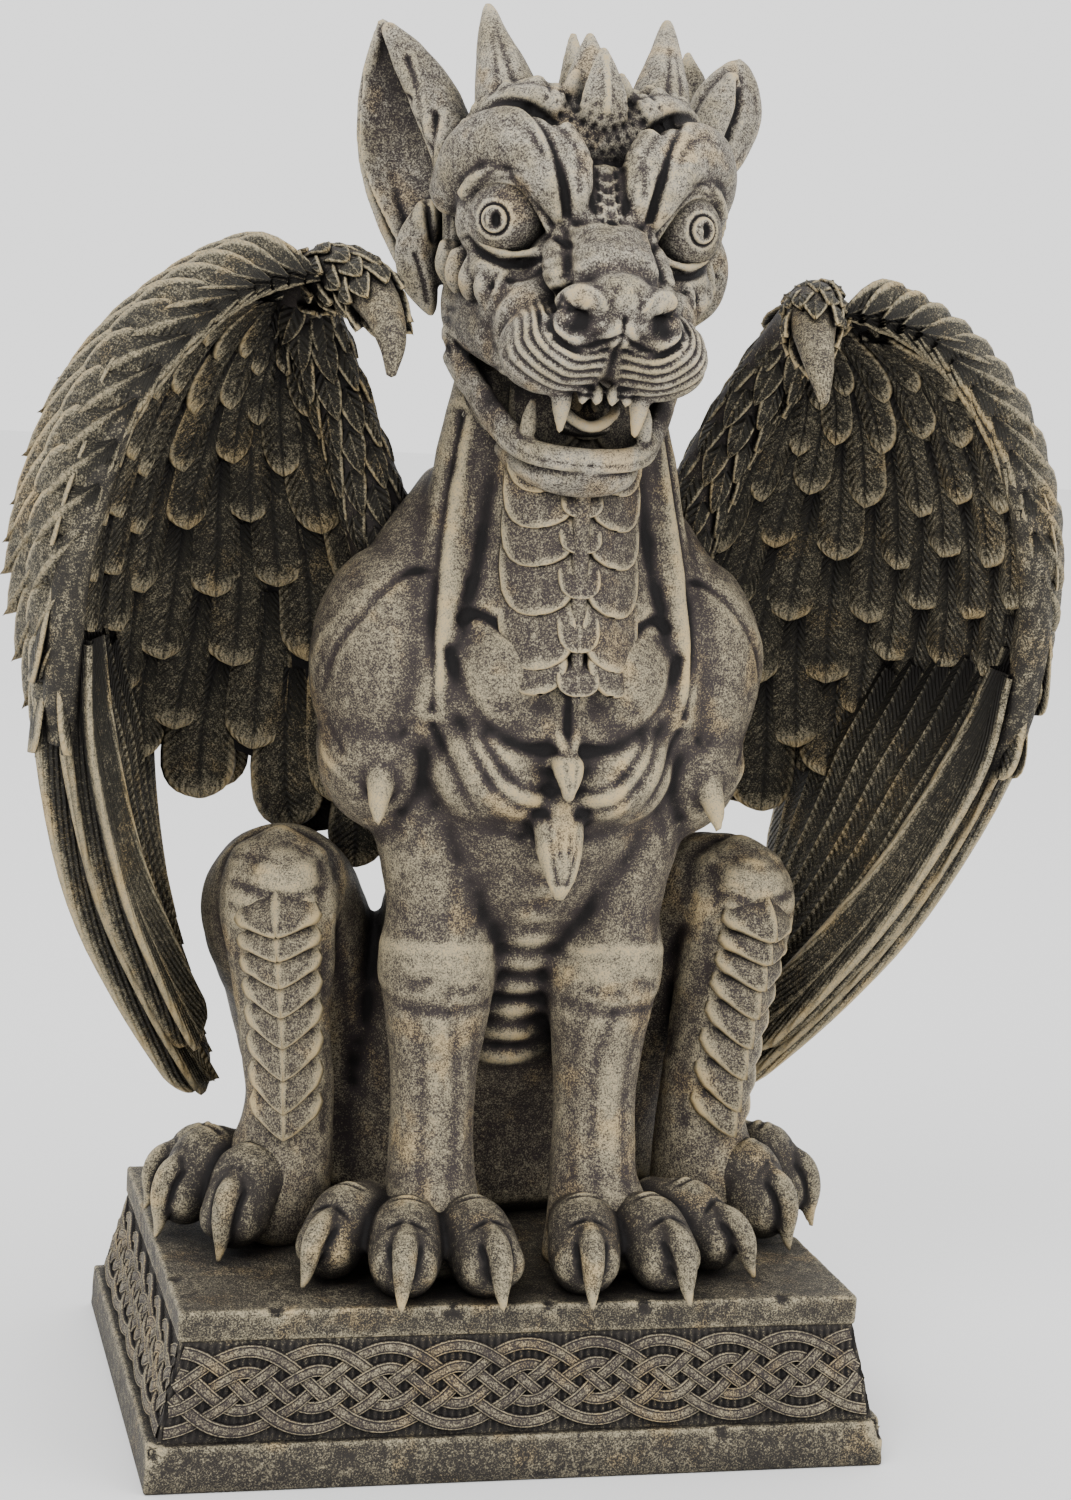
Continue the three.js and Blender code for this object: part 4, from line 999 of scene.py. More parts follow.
headStrokes = {
    # name: points, width, depth
    "nostril": ([(10.4, -92, 287.4), (12.4, -92, 287.8), (14.6, -90, 290)], 3.5, 9.5),
    "nostrilTail": ([(14.5, -90, 290.2), (17, -87, 292.5), (17.6, -84, 295)], 1.0, 1.1),
    "nostrilRingTop": ([(5.6, -92, 291), (8, -92, 294.6), (12.5, -90, 296), (16.8, -87, 293.6)], 1.0, -0.9),
    "nostrilRingLow": ([(6, -92, 286), (9, -92, 283), (13.5, -90, 282.4), (17.5, -87, 284.6), (19, -85, 289)], 1.0,
                       -0.9),
    "nostrilOutside": ([(12, -86, 299.6), (18, -83, 297.2), (21.4, -80, 290.6), (20, -82, 284.4)], 1.2, 1.0),
    "underNose": ([(18, -82, 281.6), (12, -86, 279.6), (5, -88, 281), (1.2, -89, 283)], 1.1, 1.4),
    "noseSlot": ([(0, -93, 288), (0, -92, 284), (0, -88, 279), (0, -84, 272), (0, -82, 268)], 0.9, 1.3),
    "noseDents": ([(3.4, -92, 296), (4.4, -93, 291.6)], 1.6, 0.7),
    "bridgeSide": ([(12, -62, 311), (12.6, -69, 304.6), (14, -76, 299.6)], 1.2, 0.7),
    "bridgeTop": ([(10, -63, 314), (5, -65, 315.4), (0, -66, 315.8)], 1.2, 1.2),
    "bridgeWrinkle": ([(8, -68, 308.6), (3, -70, 309.6), (0, -70, 309.8)], 1.0, 0.6),
    "padEdge": ([(19.5, -79, 297.6), (25, -70, 297), (29.4, -60, 292.4), (31, -54, 286), (29.5, -53, 278),
                 (26, -54, 273)], 1.4, 1.7),
    "cheekFold": ([(19, -66, 301), (25, -60, 299), (29.4, -53, 295)], 1.1, 0.9),
    "browTop": ([(39, -24, 333), (36, -33, 341.5), (29, -42, 347), (20, -48, 345.4), (12.5, -53, 338),
                 (7, -57.5, 328), (4.6, -60, 318)], 1.4, 1.2),
    "browSplit": ([(22, -47, 345), (18, -56, 338), (15.6, -61, 331), (13.6, -64, 323.6), (12, -64, 316)], 1.3, 1.7),
    "browOval": ([(9.6, -64, 330), (9.2, -66, 323)], 1.6, 0.7),
    "browCrease": ([(37, -32, 333), (31, -44, 340), (24, -52, 339), (20, -57, 333)], 1.5, 0.8),
    "browWrinkle": ([(34, -40, 331), (29, -49, 334), (24, -55, 331)], 1.2, 0.5),
    "browOuter": ([(37, -33, 336), (34.6, -42, 329), (33, -46, 326)], 1.7, 0.7),
    "columnSide": ([(4.2, -60, 330), (4.0, -62, 322), (4.4, -64, 315)], 0.8, 0.6),
    "overLid": ([(25, -57, 327), (31, -53, 327.6), (36, -45, 323)], 0.8, 0.4),
    "underLid": ([(15, -60.5, 305.4), (20, -59, 302.4), (27, -56, 301.4), (33, -50, 304), (36.6, -44, 308)], 1.0,
                 1.2),
    "bagA": ([(14.6, -63, 302.6), (20, -61, 299), (26, -57, 297.6)], 0.9, 0.8),
    "eyeCorner": ([(14.4, -60, 309.3), (11.6, -63, 307.4)], 1.1, 1.6),
    "lipCorner": ([(36, -20, 288), (37, -20, 281), (35, -18, 273)], 1.2, 1.2),
    "lowerLip": ([(31, -30, 264), (25, -42, 254.6), (18, -53, 248.8), (9, -60, 247), (0, -62, 246.6)], 0.9, 0.5),
    "temple": ([(37, -16, 330), (39, -18, 322), (38.6, -22, 314), (38.4, -24, 306)], 1.2, 1.1),
    "cheekBack": ([(35.5, -20, 302), (36, -22, 294), (36.4, -22, 288)], 1.2, 1.0),
    "jawFold": ([(31.6, -16, 266), (30, -26, 258), (25, -34, 251)], 1.6, 1.4),
    "hornGroove": ([(20, -35, 343), (23.4, -30, 356), (26, -20, 368)], 1.2, 0.6),
    "hornGrooveB": ([(27, -33, 343), (27.6, -27, 355), (27.6, -18, 367)], 1.0, 0.5),
    "crestLine": ([(0, -53, 346), (0, -51, 354), (0, -46, 361)], 0.8, -0.7),
}


def whiskerStrokes():
    lines = []
    for k, (a, b, c) in enumerate([(18.6, 284, 278), (21, 282.4, 275.4), (23.4, 281, 273), (25.6, 279.4, 270.8),
                                   (27.6, 277.8, 268.8), (29, 275.6, 267)]):
        points = [(a - 0.8, 292.4 - 0.5 * k), (a, b), (a * 0.58, c + 0.4), (2.2 + 0.4 * k, c + 1.6 - 0.35 * k)]
        lines.append(([(x, padDepth(x, z), z) for x, z in points], 0.66, 0.8))
    return lines


def pitStrokes():
    pits = []
    for row in range(6):
        half = 5 - row // 2
        for k in range(half + 1):
            x = (k + 0.5 * (row % 2)) * 3.0
            z = 347 - row * 3.1 + x * 0.3
            y = -46.5 - row * 1.5 + x * 0.12
            pits.append(([(x, y, z), (x + 0.2, y, z - 0.4)], 0.66, 0.62))
    for row in range(5):
        for x in (0.8, 2.6):
            z = 328 - row * 3.4 + (0.9 if x > 1 else 0)
            pits.append(([(x, -62 - row * 0.6, z), (x, -62, z - 1.2)], 0.7, 1.0))
    return pits


def earStrokes():
    # folds of the left ear, then of the right one
    left = [([(-42, -14, 344), (-44, -12, 330), (-43, -14, 318), (-40, -15, 308)], 1.3, 1.8),
            ([(-50, -6, 348), (-52, -5, 334), (-50, -6, 320), (-46, -8, 310)], 1.5, 1.6),
            ([(-50, -3, 360), (-47, -6, 350), (-46, -9, 338), (-44, -12, 326)], 1.0, 1.2),
            ([(-46, -15, 303), (-43, -16, 296), (-41, -14, 290)], 1.0, 0.9)]
    right = [([(52, -3, 362), (52.5, -4, 353), (49, -5, 343), (44, -7, 333), (41, -10, 322)], 1.4, 1.7),
             ([(59, -1, 358), (60, -2, 350), (56, -3, 341), (51, -4, 334)], 1.0, 0.8),
             ([(46, -15, 303), (43, -16, 296), (41, -14, 290)], 1.0, 0.9)]
    return left + right


def makeHead():
    bm = firstSkin(headLumps(), "headSkin", headForm["voxel"] * 1.15, headForm["softening"])
    headDetails(bm)
    piece = fused(bm, "figureHead", headForm["voxel"], 2, agedResin)
    carve(piece, bothWays(headStrokes.values()), slack=0.16)
    carve(piece, bothWays(whiskerStrokes() + pitStrokes()), slack=0.1)
    carve(piece, earStrokes(), look=(0, -1, 0), slack=0.3)
    grain(piece, 5.5, 0.16, 3.0)
    # painted shade: the inside of the mouth and its corners are darkened in colour to stand for the shade in the
    # mouth
    mouthShade = [([(-24, -44, 264), (-14, -50, 261), (0, -52, 261), (14, -50, 261), (24, -44, 264)], 6, -0.45),
             ([(30, -30, 274), (22, -44, 267)], 4, -0.4), ([(-30, -30, 274), (-22, -44, 267)], 4, -0.4)]
    teethLight = [([(11.2, -70, 268), (10.8, -69.5, 257)], 2.6, 0.3),
                  ([(-11.2, -70, 268), (-10.8, -69.5, 257)], 2.6, 0.3),
                  ([(-7.4, -56, 261.6), (0, -60, 258), (7.4, -56, 261.6)], 2.0, 0.3)]
    # painted shade: the nostril holes are darkened in colour to stand for the shade inside them
    nostrilShade = [([(10.8, -86, 287.6), (14, -84, 289.4)], 3.4, -0.7)]
    touched = paintedBy(piece, mouthShade + teethLight + bothWays(nostrilShade))
    setEdges(piece, touched, fine=2, broad=12, fineGain=2.3, broadGain=0.5)
    return thinned(piece, headForm["triangles"])


def turnedHead(piece):
    # the whole head looks a little to the left of the picture
    spot = Vector(toFrame((0, -18, 300)))
    turn = Matrix.Rotation(math.radians(headForm["turnDegrees"]), 4, "Z")
    piece.data.transform(Matrix.Translation(spot) @ turn @ Matrix.Translation(-spot))
    return piece


def makeEyes():
    # round eyeballs with a ring round the iris and a comma-shaped pupil
    bm = bmesh.new()
    edgeLayer = bm.verts.layers.float.new("edge")
    for gaze, side in zip(headForm["gaze"], (-1, 1)):
        forward = unit(gaze)
        right = unit(np.cross(forward, (0, 0, 1)))
        up = np.cross(right, forward)
        centre = np.array(headForm["eye"]) * (side, 1, 1)
        radius = headForm["eyeRadius"]
        made = bmesh.ops.create_uvsphere(bm, u_segments=96, v_segments=110, radius=1)["verts"]
        for vert in made:
            p = np.array(vert.co)
            turn = math.atan2(p[1], p[0])
            away = math.acos(max(-1, min(1, p[2]))) * radius   # mm from the gaze point
            x, y = away * math.cos(turn), away * math.sin(turn)
            ring = math.exp(-((away - 4.5) / 0.55) ** 2) * -0.75 + math.exp(-((away - 3.5) / 0.5) ** 2) * 0.3
            pupil = math.exp(-(((x + 0.7) / 1.35) ** 2 + ((y + 0.1) / 2.1) ** 2) ** 2) * -1.5
            glint = math.exp(-(((x - 1.1) / 0.95) ** 2 + ((y + 0.6) / 1.25) ** 2)) * 0.9
            step = ring + pupil + glint
            direction = forward * p[2] + right * p[0] + up * p[1]
            vert.co = centre + direction * (radius + step)
            light = 0.52 + 0.45 * math.exp(-((away - 3.6) / 0.5) ** 2)
            light += 0.35 * math.exp(-((away - 5.5) / 0.7) ** 2)
            vert[edgeLayer] = max(0.0, min(1.0, light + ring * 0.75 + pupil * 0.5 + glint * 0.35))
    toFrameAll(bm)
    bmesh.ops.recalc_face_normals(bm, faces=bm.faces)
    return pieceFrom(bm, "eyeballs", agedResin)


head = turnedHead(makeHead())
eyes = turnedHead(makeEyes())
print("head carved", len(head.data.polygons), len(eyes.data.polygons))

# Feathers, scales and leaves: plates along a curved middle line
plateForms = {
    # share of length, share of width
    "covert": [(0, 0.5), (0.3, 0.86), (0.6, 1.0), (0.76, 1.0), (0.86, 0.9), (0.93, 0.72), (0.975, 0.46), (1, 0.12)],
    "rim": [(0, 0.1), (0.12, 0.5), (0.3, 0.92), (0.5, 1.0), (0.75, 0.72), (0.9, 0.4), (1, 0.04)],
    "flight": [(0, 0.55), (0.2, 0.9), (0.5, 1.0), (0.8, 0.95), (0.93, 0.7), (1, 0.08)],
    "scale": [(0, 0.92), (0.3, 1.0), (0.6, 0.98), (0.8, 0.84), (0.92, 0.6), (0.98, 0.34), (1, 0.1)],
    "pointed": [(0, 0.85), (0.25, 1.0), (0.55, 0.86), (0.8, 0.5), (0.93, 0.24), (1, 0.03)],
}
sectionAcross = np.array([-1, -0.93, -0.72, -0.42, -0.14, 0, 0.14, 0.42, 0.72, 0.93, 1, 0.6, 0, -0.6])
sectionTop = np.array([0, 0.42, 0.5, 0.62, 0.7, 1.0, 0.7, 0.62, 0.5, 0.42, 0, -0.6, -0.9, -0.6])


def plateLayers(bm):
    if bm.verts.layers.float.get("edge") is None:
        bm.verts.layers.float.new("edge")
        bm.verts.layers.float.new("tone")
        bm.verts.layers.float_vector.new("barb")
    return (bm.verts.layers.float["edge"], bm.verts.layers.float["tone"], bm.verts.layers.float_vector["barb"])


def plate(bm, line, outward, width, thickness, form="covert", rows=14, tone=0.12, cup=0.0, ridge=1.0, number=0,
          bright=0.0, comb=(1, 1)):
    # line is the middle line from root to tip, outward the way the plate's face looks
    edgeLayer, toneLayer, barbLayer = plateLayers(bm)
    shape = np.array(plateForms[form])
    share = np.linspace(0, 1, rows + 1)
    share = mix(share, np.sin(share * math.pi / 2), 0.85)
    path = along(smoothPath(line, 40), share)
    run = unit(np.gradient(path, axis=0))
    face = np.asarray(outward, float)
    if face.ndim == 1:
        face = np.repeat(face[None], rows + 1, axis=0)
    else:
        face = along(smoothPath(face, 40), share)
    side = unit(np.cross(run, face))
    face = unit(np.cross(side, run))
    half = np.interp(share, shape[:, 0], shape[:, 1]) * width / 2
    length = float(np.sum(np.linalg.norm(np.diff(path, axis=0), axis=1)))
    sides = len(sectionAcross)
    made = bmesh.ops.create_grid(bm, x_segments=sides, y_segments=rows, size=0.5)["verts"]
    for vert in made:
        k = int(round((vert.co.x + 0.5) * sides)) % sides
        j = int(round((vert.co.y + 0.5) * rows))
        across, top = sectionAcross[k], sectionTop[k]
        lift = top * thickness * (1 if top < 0 or k != 5 else mix(1, ridge, 0.5))
        lift += cup * across * across * half[j]
        vert.co = path[j] + side[j] * (across * half[j]) + face[j] * lift
        lip = 1.0 if top >= 0 and abs(across) > 0.9 else 0.0
        rachis = 1.0 if k == 5 else 0.0
        end = max(0.0, (share[j] - 0.86) / 0.14)
        start = max(0.0, 1 - share[j] / 0.35)
        light = 0.5 + 0.46 * lip + 0.26 * rachis * ridge + 0.5 * end - 0.3 * start + bright
        vert[edgeLayer] = light if top >= 0 else 0.42
        vert[toneLayer] = tone
        vert[barbLayer] = (across * width / 2 * comb[0], share[j] * length * comb[1], number * 3.7)
    bmesh.ops.remove_doubles(bm, verts=made, dist=1e-4)


# The wings: a net from the wrist down and from the front rim back to the root
wingForm = {
    "net": [
        [(92, -36, 290), (87, -22, 293), (81, -10, 293), (75, -4, 289), (70, 0, 284)],
        [(124, -46, 273), (112, -24, 272), (99, -6, 270), (84, 5, 267), (67, 3, 266)],
        [(139, -50, 240), (130, -20, 238), (112, 8, 236), (84, 20, 236), (54, 6, 240)],
        [(145, -47, 205), (138, -12, 203), (119, 20, 199), (84, 32, 194), (42, 16, 200)],
        [(147, -40, 174), (140, -4, 170), (124, 28, 162), (92, 42, 149), (44, 30, 132)],
    ],
    "rimRidge": [(84, -40, 295), (99, -47, 290), (113, -50, 280), (131, -50, 257), (142, -52, 226), (146, -46, 190),
                 (144, -34, 160)],
    "rimOuter": [(97, -17, 301), (112, -20, 296), (127, -21, 284), (143, -25, 267), (154, -31, 248),
                 (160, -32, 222), (161, -30, 203), (156, -27, 178), (148, -20, 150)],
    "arm": [(38, 3, 196, 14, 12), (44, 4, 212, 12, 11), (53, 5, 236, 10, 9), (64, 3, 262, 9, 8),
            (76, -7, 286, 10, 8), (75, -26, 295, 9, 8), (68, -44, 294, 8, 8), (64, -58, 287, 6, 5.5),
            (62.5, -69, 278, 4, 4), (63, -73, 269, 1.4, 1.4)],
    "skin": 4.0,
    # rows of coverts: gap and lift are mm over the net at a feather's root and on to its tip
    "hollowCoverts": {"way": 1, "rows": 8, "across": 7, "start": 0.15, "reach": 2.05, "uneven": 1, "gap": 0.3,
                      "lift": 3.4, "swell": 1.12, "widths": (9, 24), "thickness": 2.0, "cells": 12, "cup": -0.26,
                      "bright": 0.03},
    "backCoverts": {"way": -1, "rows": 7, "across": 6, "start": 0.1, "reach": 2.0, "uneven": 0, "gap": 4.2,
                    "lift": 3.0, "swell": 1.14, "widths": (11, 28), "thickness": 1.9, "cells": 10, "cup": -0.2,
                    "bright": 0.0},
    "rimFeathers": 15,
    "rimLayers": [(1.0, 0.0), (0.72, 3.0)],   # share of the length and lift
    "rib": [(0.04, 2), (0.25, 3), (0.5, 4), (0.72, 5), (0.88, 5.4), (1.0, 5)],
    "flights": 8,
    "fan": [((145, -40, 196), (110, 34, 178)), ((139, -12, 118), (113, 54, 152)), ((86, 46, 36), (101, 48, 98))],
    "quills": [[(146, -40, 196, 6), (143, -30, 160, 7.5), (131, -6, 114, 8), (113, 15, 77, 7.5), (94, 37, 46, 6.5),
                (86, 47, 36, 4)],
               [(140, -44, 190, 5), (137, -34, 160, 6.5), (124, -12, 116, 7.5), (108, 8, 82, 7), (97, 22, 62, 5),
                (93, 27, 55, 2.5)]],
    "locks": 120,
}


def netSheet(rows, count=41):
    down = [smoothPath(row, count) for row in rows]
    return np.array([smoothPath([row[i] for row in down], count) for i in range(count)])   # [across][down]


def sheetPoint(sheet, u, v):
    n = len(sheet) - 1
    x, y = np.clip(u, 0, 1) * n, np.clip(v, 0, 1) * n
    i, j = min(int(x), n - 1), min(int(y), n - 1)
    f, g = x - i, y - j
    return ((sheet[i, j] * (1 - f) + sheet[i + 1, j] * f) * (1 - g)
            + (sheet[i, j + 1] * (1 - f) + sheet[i + 1, j + 1] * f) * g)


def sheetFace(sheet, u, v):
    step = 0.02
    a = sheetPoint(sheet, u + step, v) - sheetPoint(sheet, u - step, v)
    b = sheetPoint(sheet, u, v + step) - sheetPoint(sheet, u, v - step)
    face = unit(np.cross(a, b))
    return -face if face[1] > 0 else face


def wobble(k, spread):
    # a fixed unevenness for piece number k
    return spread * (((k * 0.618034) % 1) - 0.5) * 2


def markedLimb(bm, stations, light, tone, **options):
    # a limb among plates, with marks of its own; light gives the edge mark for a place
    before = set(bm.verts)
    limb(bm, stations, **options)
    edgeLayer, toneLayer = plateLayers(bm)[:2]
    for vert in bm.verts:
        if vert not in before:
            vert[edgeLayer], vert[toneLayer] = light(vert.co), tone


def makeWeb(bm, sheet):
    # the web under the feathers, from its back over the lower edge to the hollow face
    cells, skin = 20, wingForm["skin"]

    def web(u, v):
        spots = []
        for a, b in zip(u, v):
            t = min(abs(b - 0.5) * 2, 1)
            depth = 1 if b > 0.5 else -1
            spots.append(sheetPoint(sheet, a, t) + sheetFace(sheet, a, t) * (depth * skin / 2 - skin / 2))
        return np.array(spots)

    gridShape(bm, cells, 2 * cells, web)
    edgeLayer = plateLayers(bm)[0]
    for vert in bm.verts:
        vert[edgeLayer] = 0.12


def makeCoverts(bm, sheet, form, number):
    # overlapping rows of round feathers; number counts the plates and seeds their unevenness
    rows, across, uneven = form["rows"], form["across"], form["uneven"]
    for row in range(rows):
        for k in range(across + row % 2):
            number += 1
            u = (k + 0.5 - 0.5 * (row % 2)) / across + uneven * wobble(number, 0.012)
            v = (row - form["start"]) / rows
            reach = form["reach"] / rows * (1 + uneven * wobble(number + 3, 0.1))
            lean = uneven * (mix(-0.03, 0.05, u) + wobble(number + 7, 0.015))
            points, faces = [], []
            for t in (0, 0.33, 0.66, 1):
                a, b = u + lean * t, v + reach * t
                face = form["way"] * sheetFace(sheet, min(max(a, 0.02), 0.98), min(max(b, 0.02), 0.98))
                height = form["gap"] + form["lift"] * t + uneven * wobble(number, 0.4)
                hang = np.array([0, 0, -150 * max(0.0, b - 1.0)])   # past the lower edge
                points.append(sheetPoint(sheet, a, b) + face * height + hang)
                faces.append(face)
            span = sheetPoint(sheet, u + 0.5 / across, v + 0.1) - sheetPoint(sheet, u - 0.5 / across, v + 0.1)
            width = float(np.clip(np.linalg.norm(span) * form["swell"], *form["widths"]))
            plate(bm, points, faces, width, form["thickness"], "covert", rows=form["cells"], number=number,
                  cup=form["cup"], ridge=-0.7, bright=form["bright"])
    return number


def makeRim(bm, side, number):
    # rim feathers in two layers along the leading edge, and the long rib they spring from
    ridge = smoothPath(onSide(wingForm["rimRidge"], side), 60)
    outer = smoothPath(onSide(wingForm["rimOuter"], side), 60)
    count = wingForm["rimFeathers"]
    face = unit((side * 0.35, -1, 0.25))
    for layer, (size, lift) in enumerate(wingForm["rimLayers"]):
        for k in range(count):
            t = (k + 0.5 * layer) / count
            number += 1
            root = along(ridge, t * 0.93)
            tip = root + (along(outer, min(1, t * 0.95 + 0.10)) - root) * size
            line = [root - (tip - root) * 0.2 + face * (lift - 2.5),
                    (root + tip) / 2 + face * (3.5 + lift) + (0, 0, 2.5),
                    tip + face * (lift * 0.4) + (0, 4, 0)]
            plate(bm, line, face, mix(15, 20, math.sin(math.pi * t)), 2.6, "rim", rows=12, number=number, cup=-0.25,
                  ridge=1.4, bright=0.1)
    rib = [(*(along(ridge, t) - (0, 0.5, 0)), radius) for t, radius in wingForm["rib"]]
    markedLimb(bm, rib, lambda spot: 0.5 + 0.1 * math.sin(spot.x * 2.1 + spot.y * 1.7), 0.2, sides=20, rows=80)
    return number


def makeFlights(bm, side, number):
    # long flight feathers, fanned from the lower edge, each with a plate for its back
    outward = unit((-side, -0.35, 0.1))
    for k in range(wingForm["flights"]):
        t = k / (wingForm["flights"] - 1)
        number += 1
        root, elbow, tip = (mix(np.array(a), np.array(b), t) * (side, 1, 1) for a, b in wingForm["fan"])
        curve = []
        for s in np.linspace(0, 1, 7):
            lift = 3.0 - 2.6 * t - 2.0 * s - 8.0 * max(0.0, 0.3 - s) / 0.3
            curve.append((1 - s) ** 2 * root + 2 * s * (1 - s) * elbow + s * s * tip + outward * lift)
        width = mix(19, 17, t)
        plate(bm, curve, outward, width, mix(3.4, 2.0, t), "flight", rows=30, number=number, cup=-0.15, ridge=1.2)
        behind = [c - outward * 1.6 for c in curve]
        plate(bm, behind, -outward, width, 2.2, "flight", rows=24, number=number + 40, cup=-0.15, ridge=1.2)
    # the two thick leading quills, each of two plates
    for quill in wingForm["quills"]:
        line = np.array(onSide(quill, side))[:, :3]
        for lean, lift in ((unit((-side * 0.2, -1, 0.35)), 1.5), (unit((-side * 1.0, 0.1, 0.1)), 0.5)):
            number += 1
            plate(bm, line + lean * lift, lean, 2.7 * quill[2][3], 3.2, "flight", rows=34, number=number, cup=-0.2,
                  ridge=1.2, bright=0.04, comb=(1.6, 0.2))
    return number


def makeArm(bm, side, number):
    # arm, wrist and its beak-like hook
    stations = onSide(wingForm["arm"], side)
    markedLimb(bm, stations, lambda spot: 0.36 + 0.3 * min(1.0, max(0.0, -spot.y - 36) / 30), 0.35, sides=18,
               rows=60, across=(1, 0.2, 0))
    # locks of short feathers that wrap the arm and wrist
    line = smoothPath(stations, 60)
    front = np.array((0, -1, 0.25))
    count = wingForm["locks"]
    for k in range(count):
        t = 0.02 + 0.7 * k / count
        spot = along(line, t)
        run = unit(along(line, t + 0.03)[:3] - along(line, t - 0.03)[:3])
        ahead = unit(front - run * (run @ front))
        other = np.cross(run, ahead)
        angle = (k * 2.4) % (2 * math.pi)
        face = ahead * math.cos(angle) + other * math.sin(angle)
        number += 1
        root = spot[:3] + face * spot[3] * 0.75
        drop = (-run if t < 0.5 else run) * (12 + wobble(number, 4))
        tip = root + drop + face * 3.4 + (0, 0, -3.0) + other * wobble(number + 5, 3)
        plate(bm, [root, (root + tip) / 2 + face * 1.2, tip], face, 8 + wobble(number, 1.5), 1.5, "pointed", rows=6,
              number=number, bright=-0.04)


def makeWing(side):
    bm = bmesh.new()
    plateLayers(bm)
    sheet = netSheet([onSide(row, side) for row in wingForm["net"]])
    makeWeb(bm, sheet)
    number = 0
    for coverts in ("hollowCoverts", "backCoverts"):
        number = makeCoverts(bm, sheet, wingForm[coverts], number)
    number = makeRim(bm, side, number)
    number = makeFlights(bm, side, number)
    makeArm(bm, side, number)
    toFrameAll(bm)
    bmesh.ops.recalc_face_normals(bm, faces=bm.faces)
    return pieceFrom(bm, "wingLeft" if side < 0 else "wingRight", featherResin)


wings = [makeWing(-1), makeWing(1)]
print("wings feathered", [len(w.data.polygons) for w in wings])


# Scales of the throat and the shins
scaling = {
    "throat": [(0, -45, 268), (0, -46, 240), (0, -49, 215), (0, -56, 180)],
    "throatRows": 7,
    "keel": [(0, -48, 252, 2.6), (0, -51.5, 225, 2.6), (0, -54.5, 200, 2.4), (0, -59, 178, 1.2)],
    "shin": [(74, -4, 112), (72, -5, 92), (69, -4, 66), (67, -3, 36)],
    "shinRows": 8,
}


def makeScales():
    bm = bmesh.new()
    plateLayers(bm)
    throat = smoothPath(scaling["throat"], 60)
    rows = scaling["throatRows"]
    for row in range(rows):
        t = row / rows
        for side in (-1, 1):
            face = unit((side * 0.5, -1, -0.1))
            width = mix(19, 22, t) * (0.72 if row == rows - 1 else 1)
            centre, lower = along(throat, t), along(throat, t + 1.55 / rows)
            root = centre + (side * 12.0, 3.4, 1.5)
            tip = lower + (side * 10.6, -1.4, 0)
            bend = (root + tip) / 2 + face * 0.6
            plate(bm, [root, bend, tip], face, width + 3.5, 1.8, "scale", rows=14, tone=0.62, ridge=0.2, cup=-0.14,
                  number=row)
        centre, lower = along(throat, t + 0.06), along(throat, t + 1.2 / rows)
        middle = [centre + (0, -1.5, 0), (centre + lower) / 2 + (0, -4.2, 0), lower + (0, -4.6, 0)]
        plate(bm, middle, (0, -1, 0), 13, 1.6, "scale", rows=10, tone=0.62, ridge=0.8, number=row + 20)
    markedLimb(bm, scaling["keel"], lambda spot: 0.56, 0.62, sides=12, rows=30)
    shinRows = scaling["shinRows"]
    for side in (-1, 1):
        shin = smoothPath(onSide(scaling["shin"], side), 60)
        forward = unit((side * 0.25, -1, 0))
        for row in range(shinRows):
            t = row / (shinRows + 0.6)
            size = mix(1, 0.82, t)
            root = along(shin, t) + forward * 13.0 * size
            tip = along(shin, t + 0.21) + forward * 22.0 * size
            plate(bm, [root, (root + tip) / 2 + forward * 1.6, tip], forward, 27 * size, 2.4, "pointed", rows=12,
                  tone=0.42, cup=-0.5, ridge=1.8, number=row, bright=0.08)
    toFrameAll(bm)
    bmesh.ops.recalc_face_normals(bm, faces=bm.faces)
    return pieceFrom(bm, "scales", agedResin)


scales = makeScales()
print("scales made")


# Plinth: foot block, sloped frieze with knotwork and slab
plinth = {
    "width": 225.0, "depth": 156.0,
    "foot": 14.0, "frieze": 28.0, "slab": 9.0,
    "setback": 3.5, "slope": 6.5, "overhang": 1.0,
    "pitch": 20.4,          # mm between the arcs of the knotwork
    "strand": 3.7,          # width of a strand
    "strandHeight": 1.4,
    "bandHalf": 11.4,       # from the middle line to the outer arcs
    "innerShare": 0.47,
    "chips": [(-75, -68, 51, 3.2, 1.7), (-23, -68.5, 49, 3.5, 1.6), (6, -68, 51, 2.6, 1.3),
              (36, -68.5, 50, 3.4, 1.5), (79, -68, 51, 3.0, 1.5), (-101, -40, 50, 3.5, 1.4),
              (101, -10, 50, 4, 1.6), (-60, 68, 50, 4, 1.6), (30, 68, 50, 3.4, 1.5), (-112, -77, 13, 3.5, 1.8),
              (60, -78, 13, 3.0, 1.2), (112, -77, 12, 4.5, 2.2)],
}


def softBlock(bm, width, depth, bottom, top, topWidth=None, topDepth=None, cell=1.9, edge=1.0):
    made = bmesh.ops.create_cube(bm, size=1)["verts"]
    for vert in made:
        high = vert.co.z > 0
        w, d = (topWidth or width, topDepth or depth) if high else (width, depth)
        vert.co = (math.copysign(w / 2, vert.co.x), math.copysign(d / 2, vert.co.y), top if high else bottom)
    faces = {f for v in made for f in v.link_faces}
    edges = {e for f in faces for e in f.edges}
    bmesh.ops.bevel(bm, geom=list(edges) + made, offset=edge, offset_type="OFFSET", segments=3, profile=0.5,
                    affect="EDGES", material=-1)
    # long faces are cut into cells so that the wear can shape them
    for axis, (a, b) in enumerate(((-width / 2, width / 2), (-depth / 2, depth / 2), (bottom, top))):
        cuts = max(1, int((b - a) / cell))
        for i in range(1, cuts):
            spot, way = [0, 0, 0], [0, 0, 0]
            spot[axis] = a + (b - a) * i / cuts
            way[axis] = 1
            whole = bm.verts[:] + bm.edges[:] + bm.faces[:]
            bmesh.ops.bisect_plane(bm, geom=whole, dist=0.001, plane_co=spot, plane_no=way)


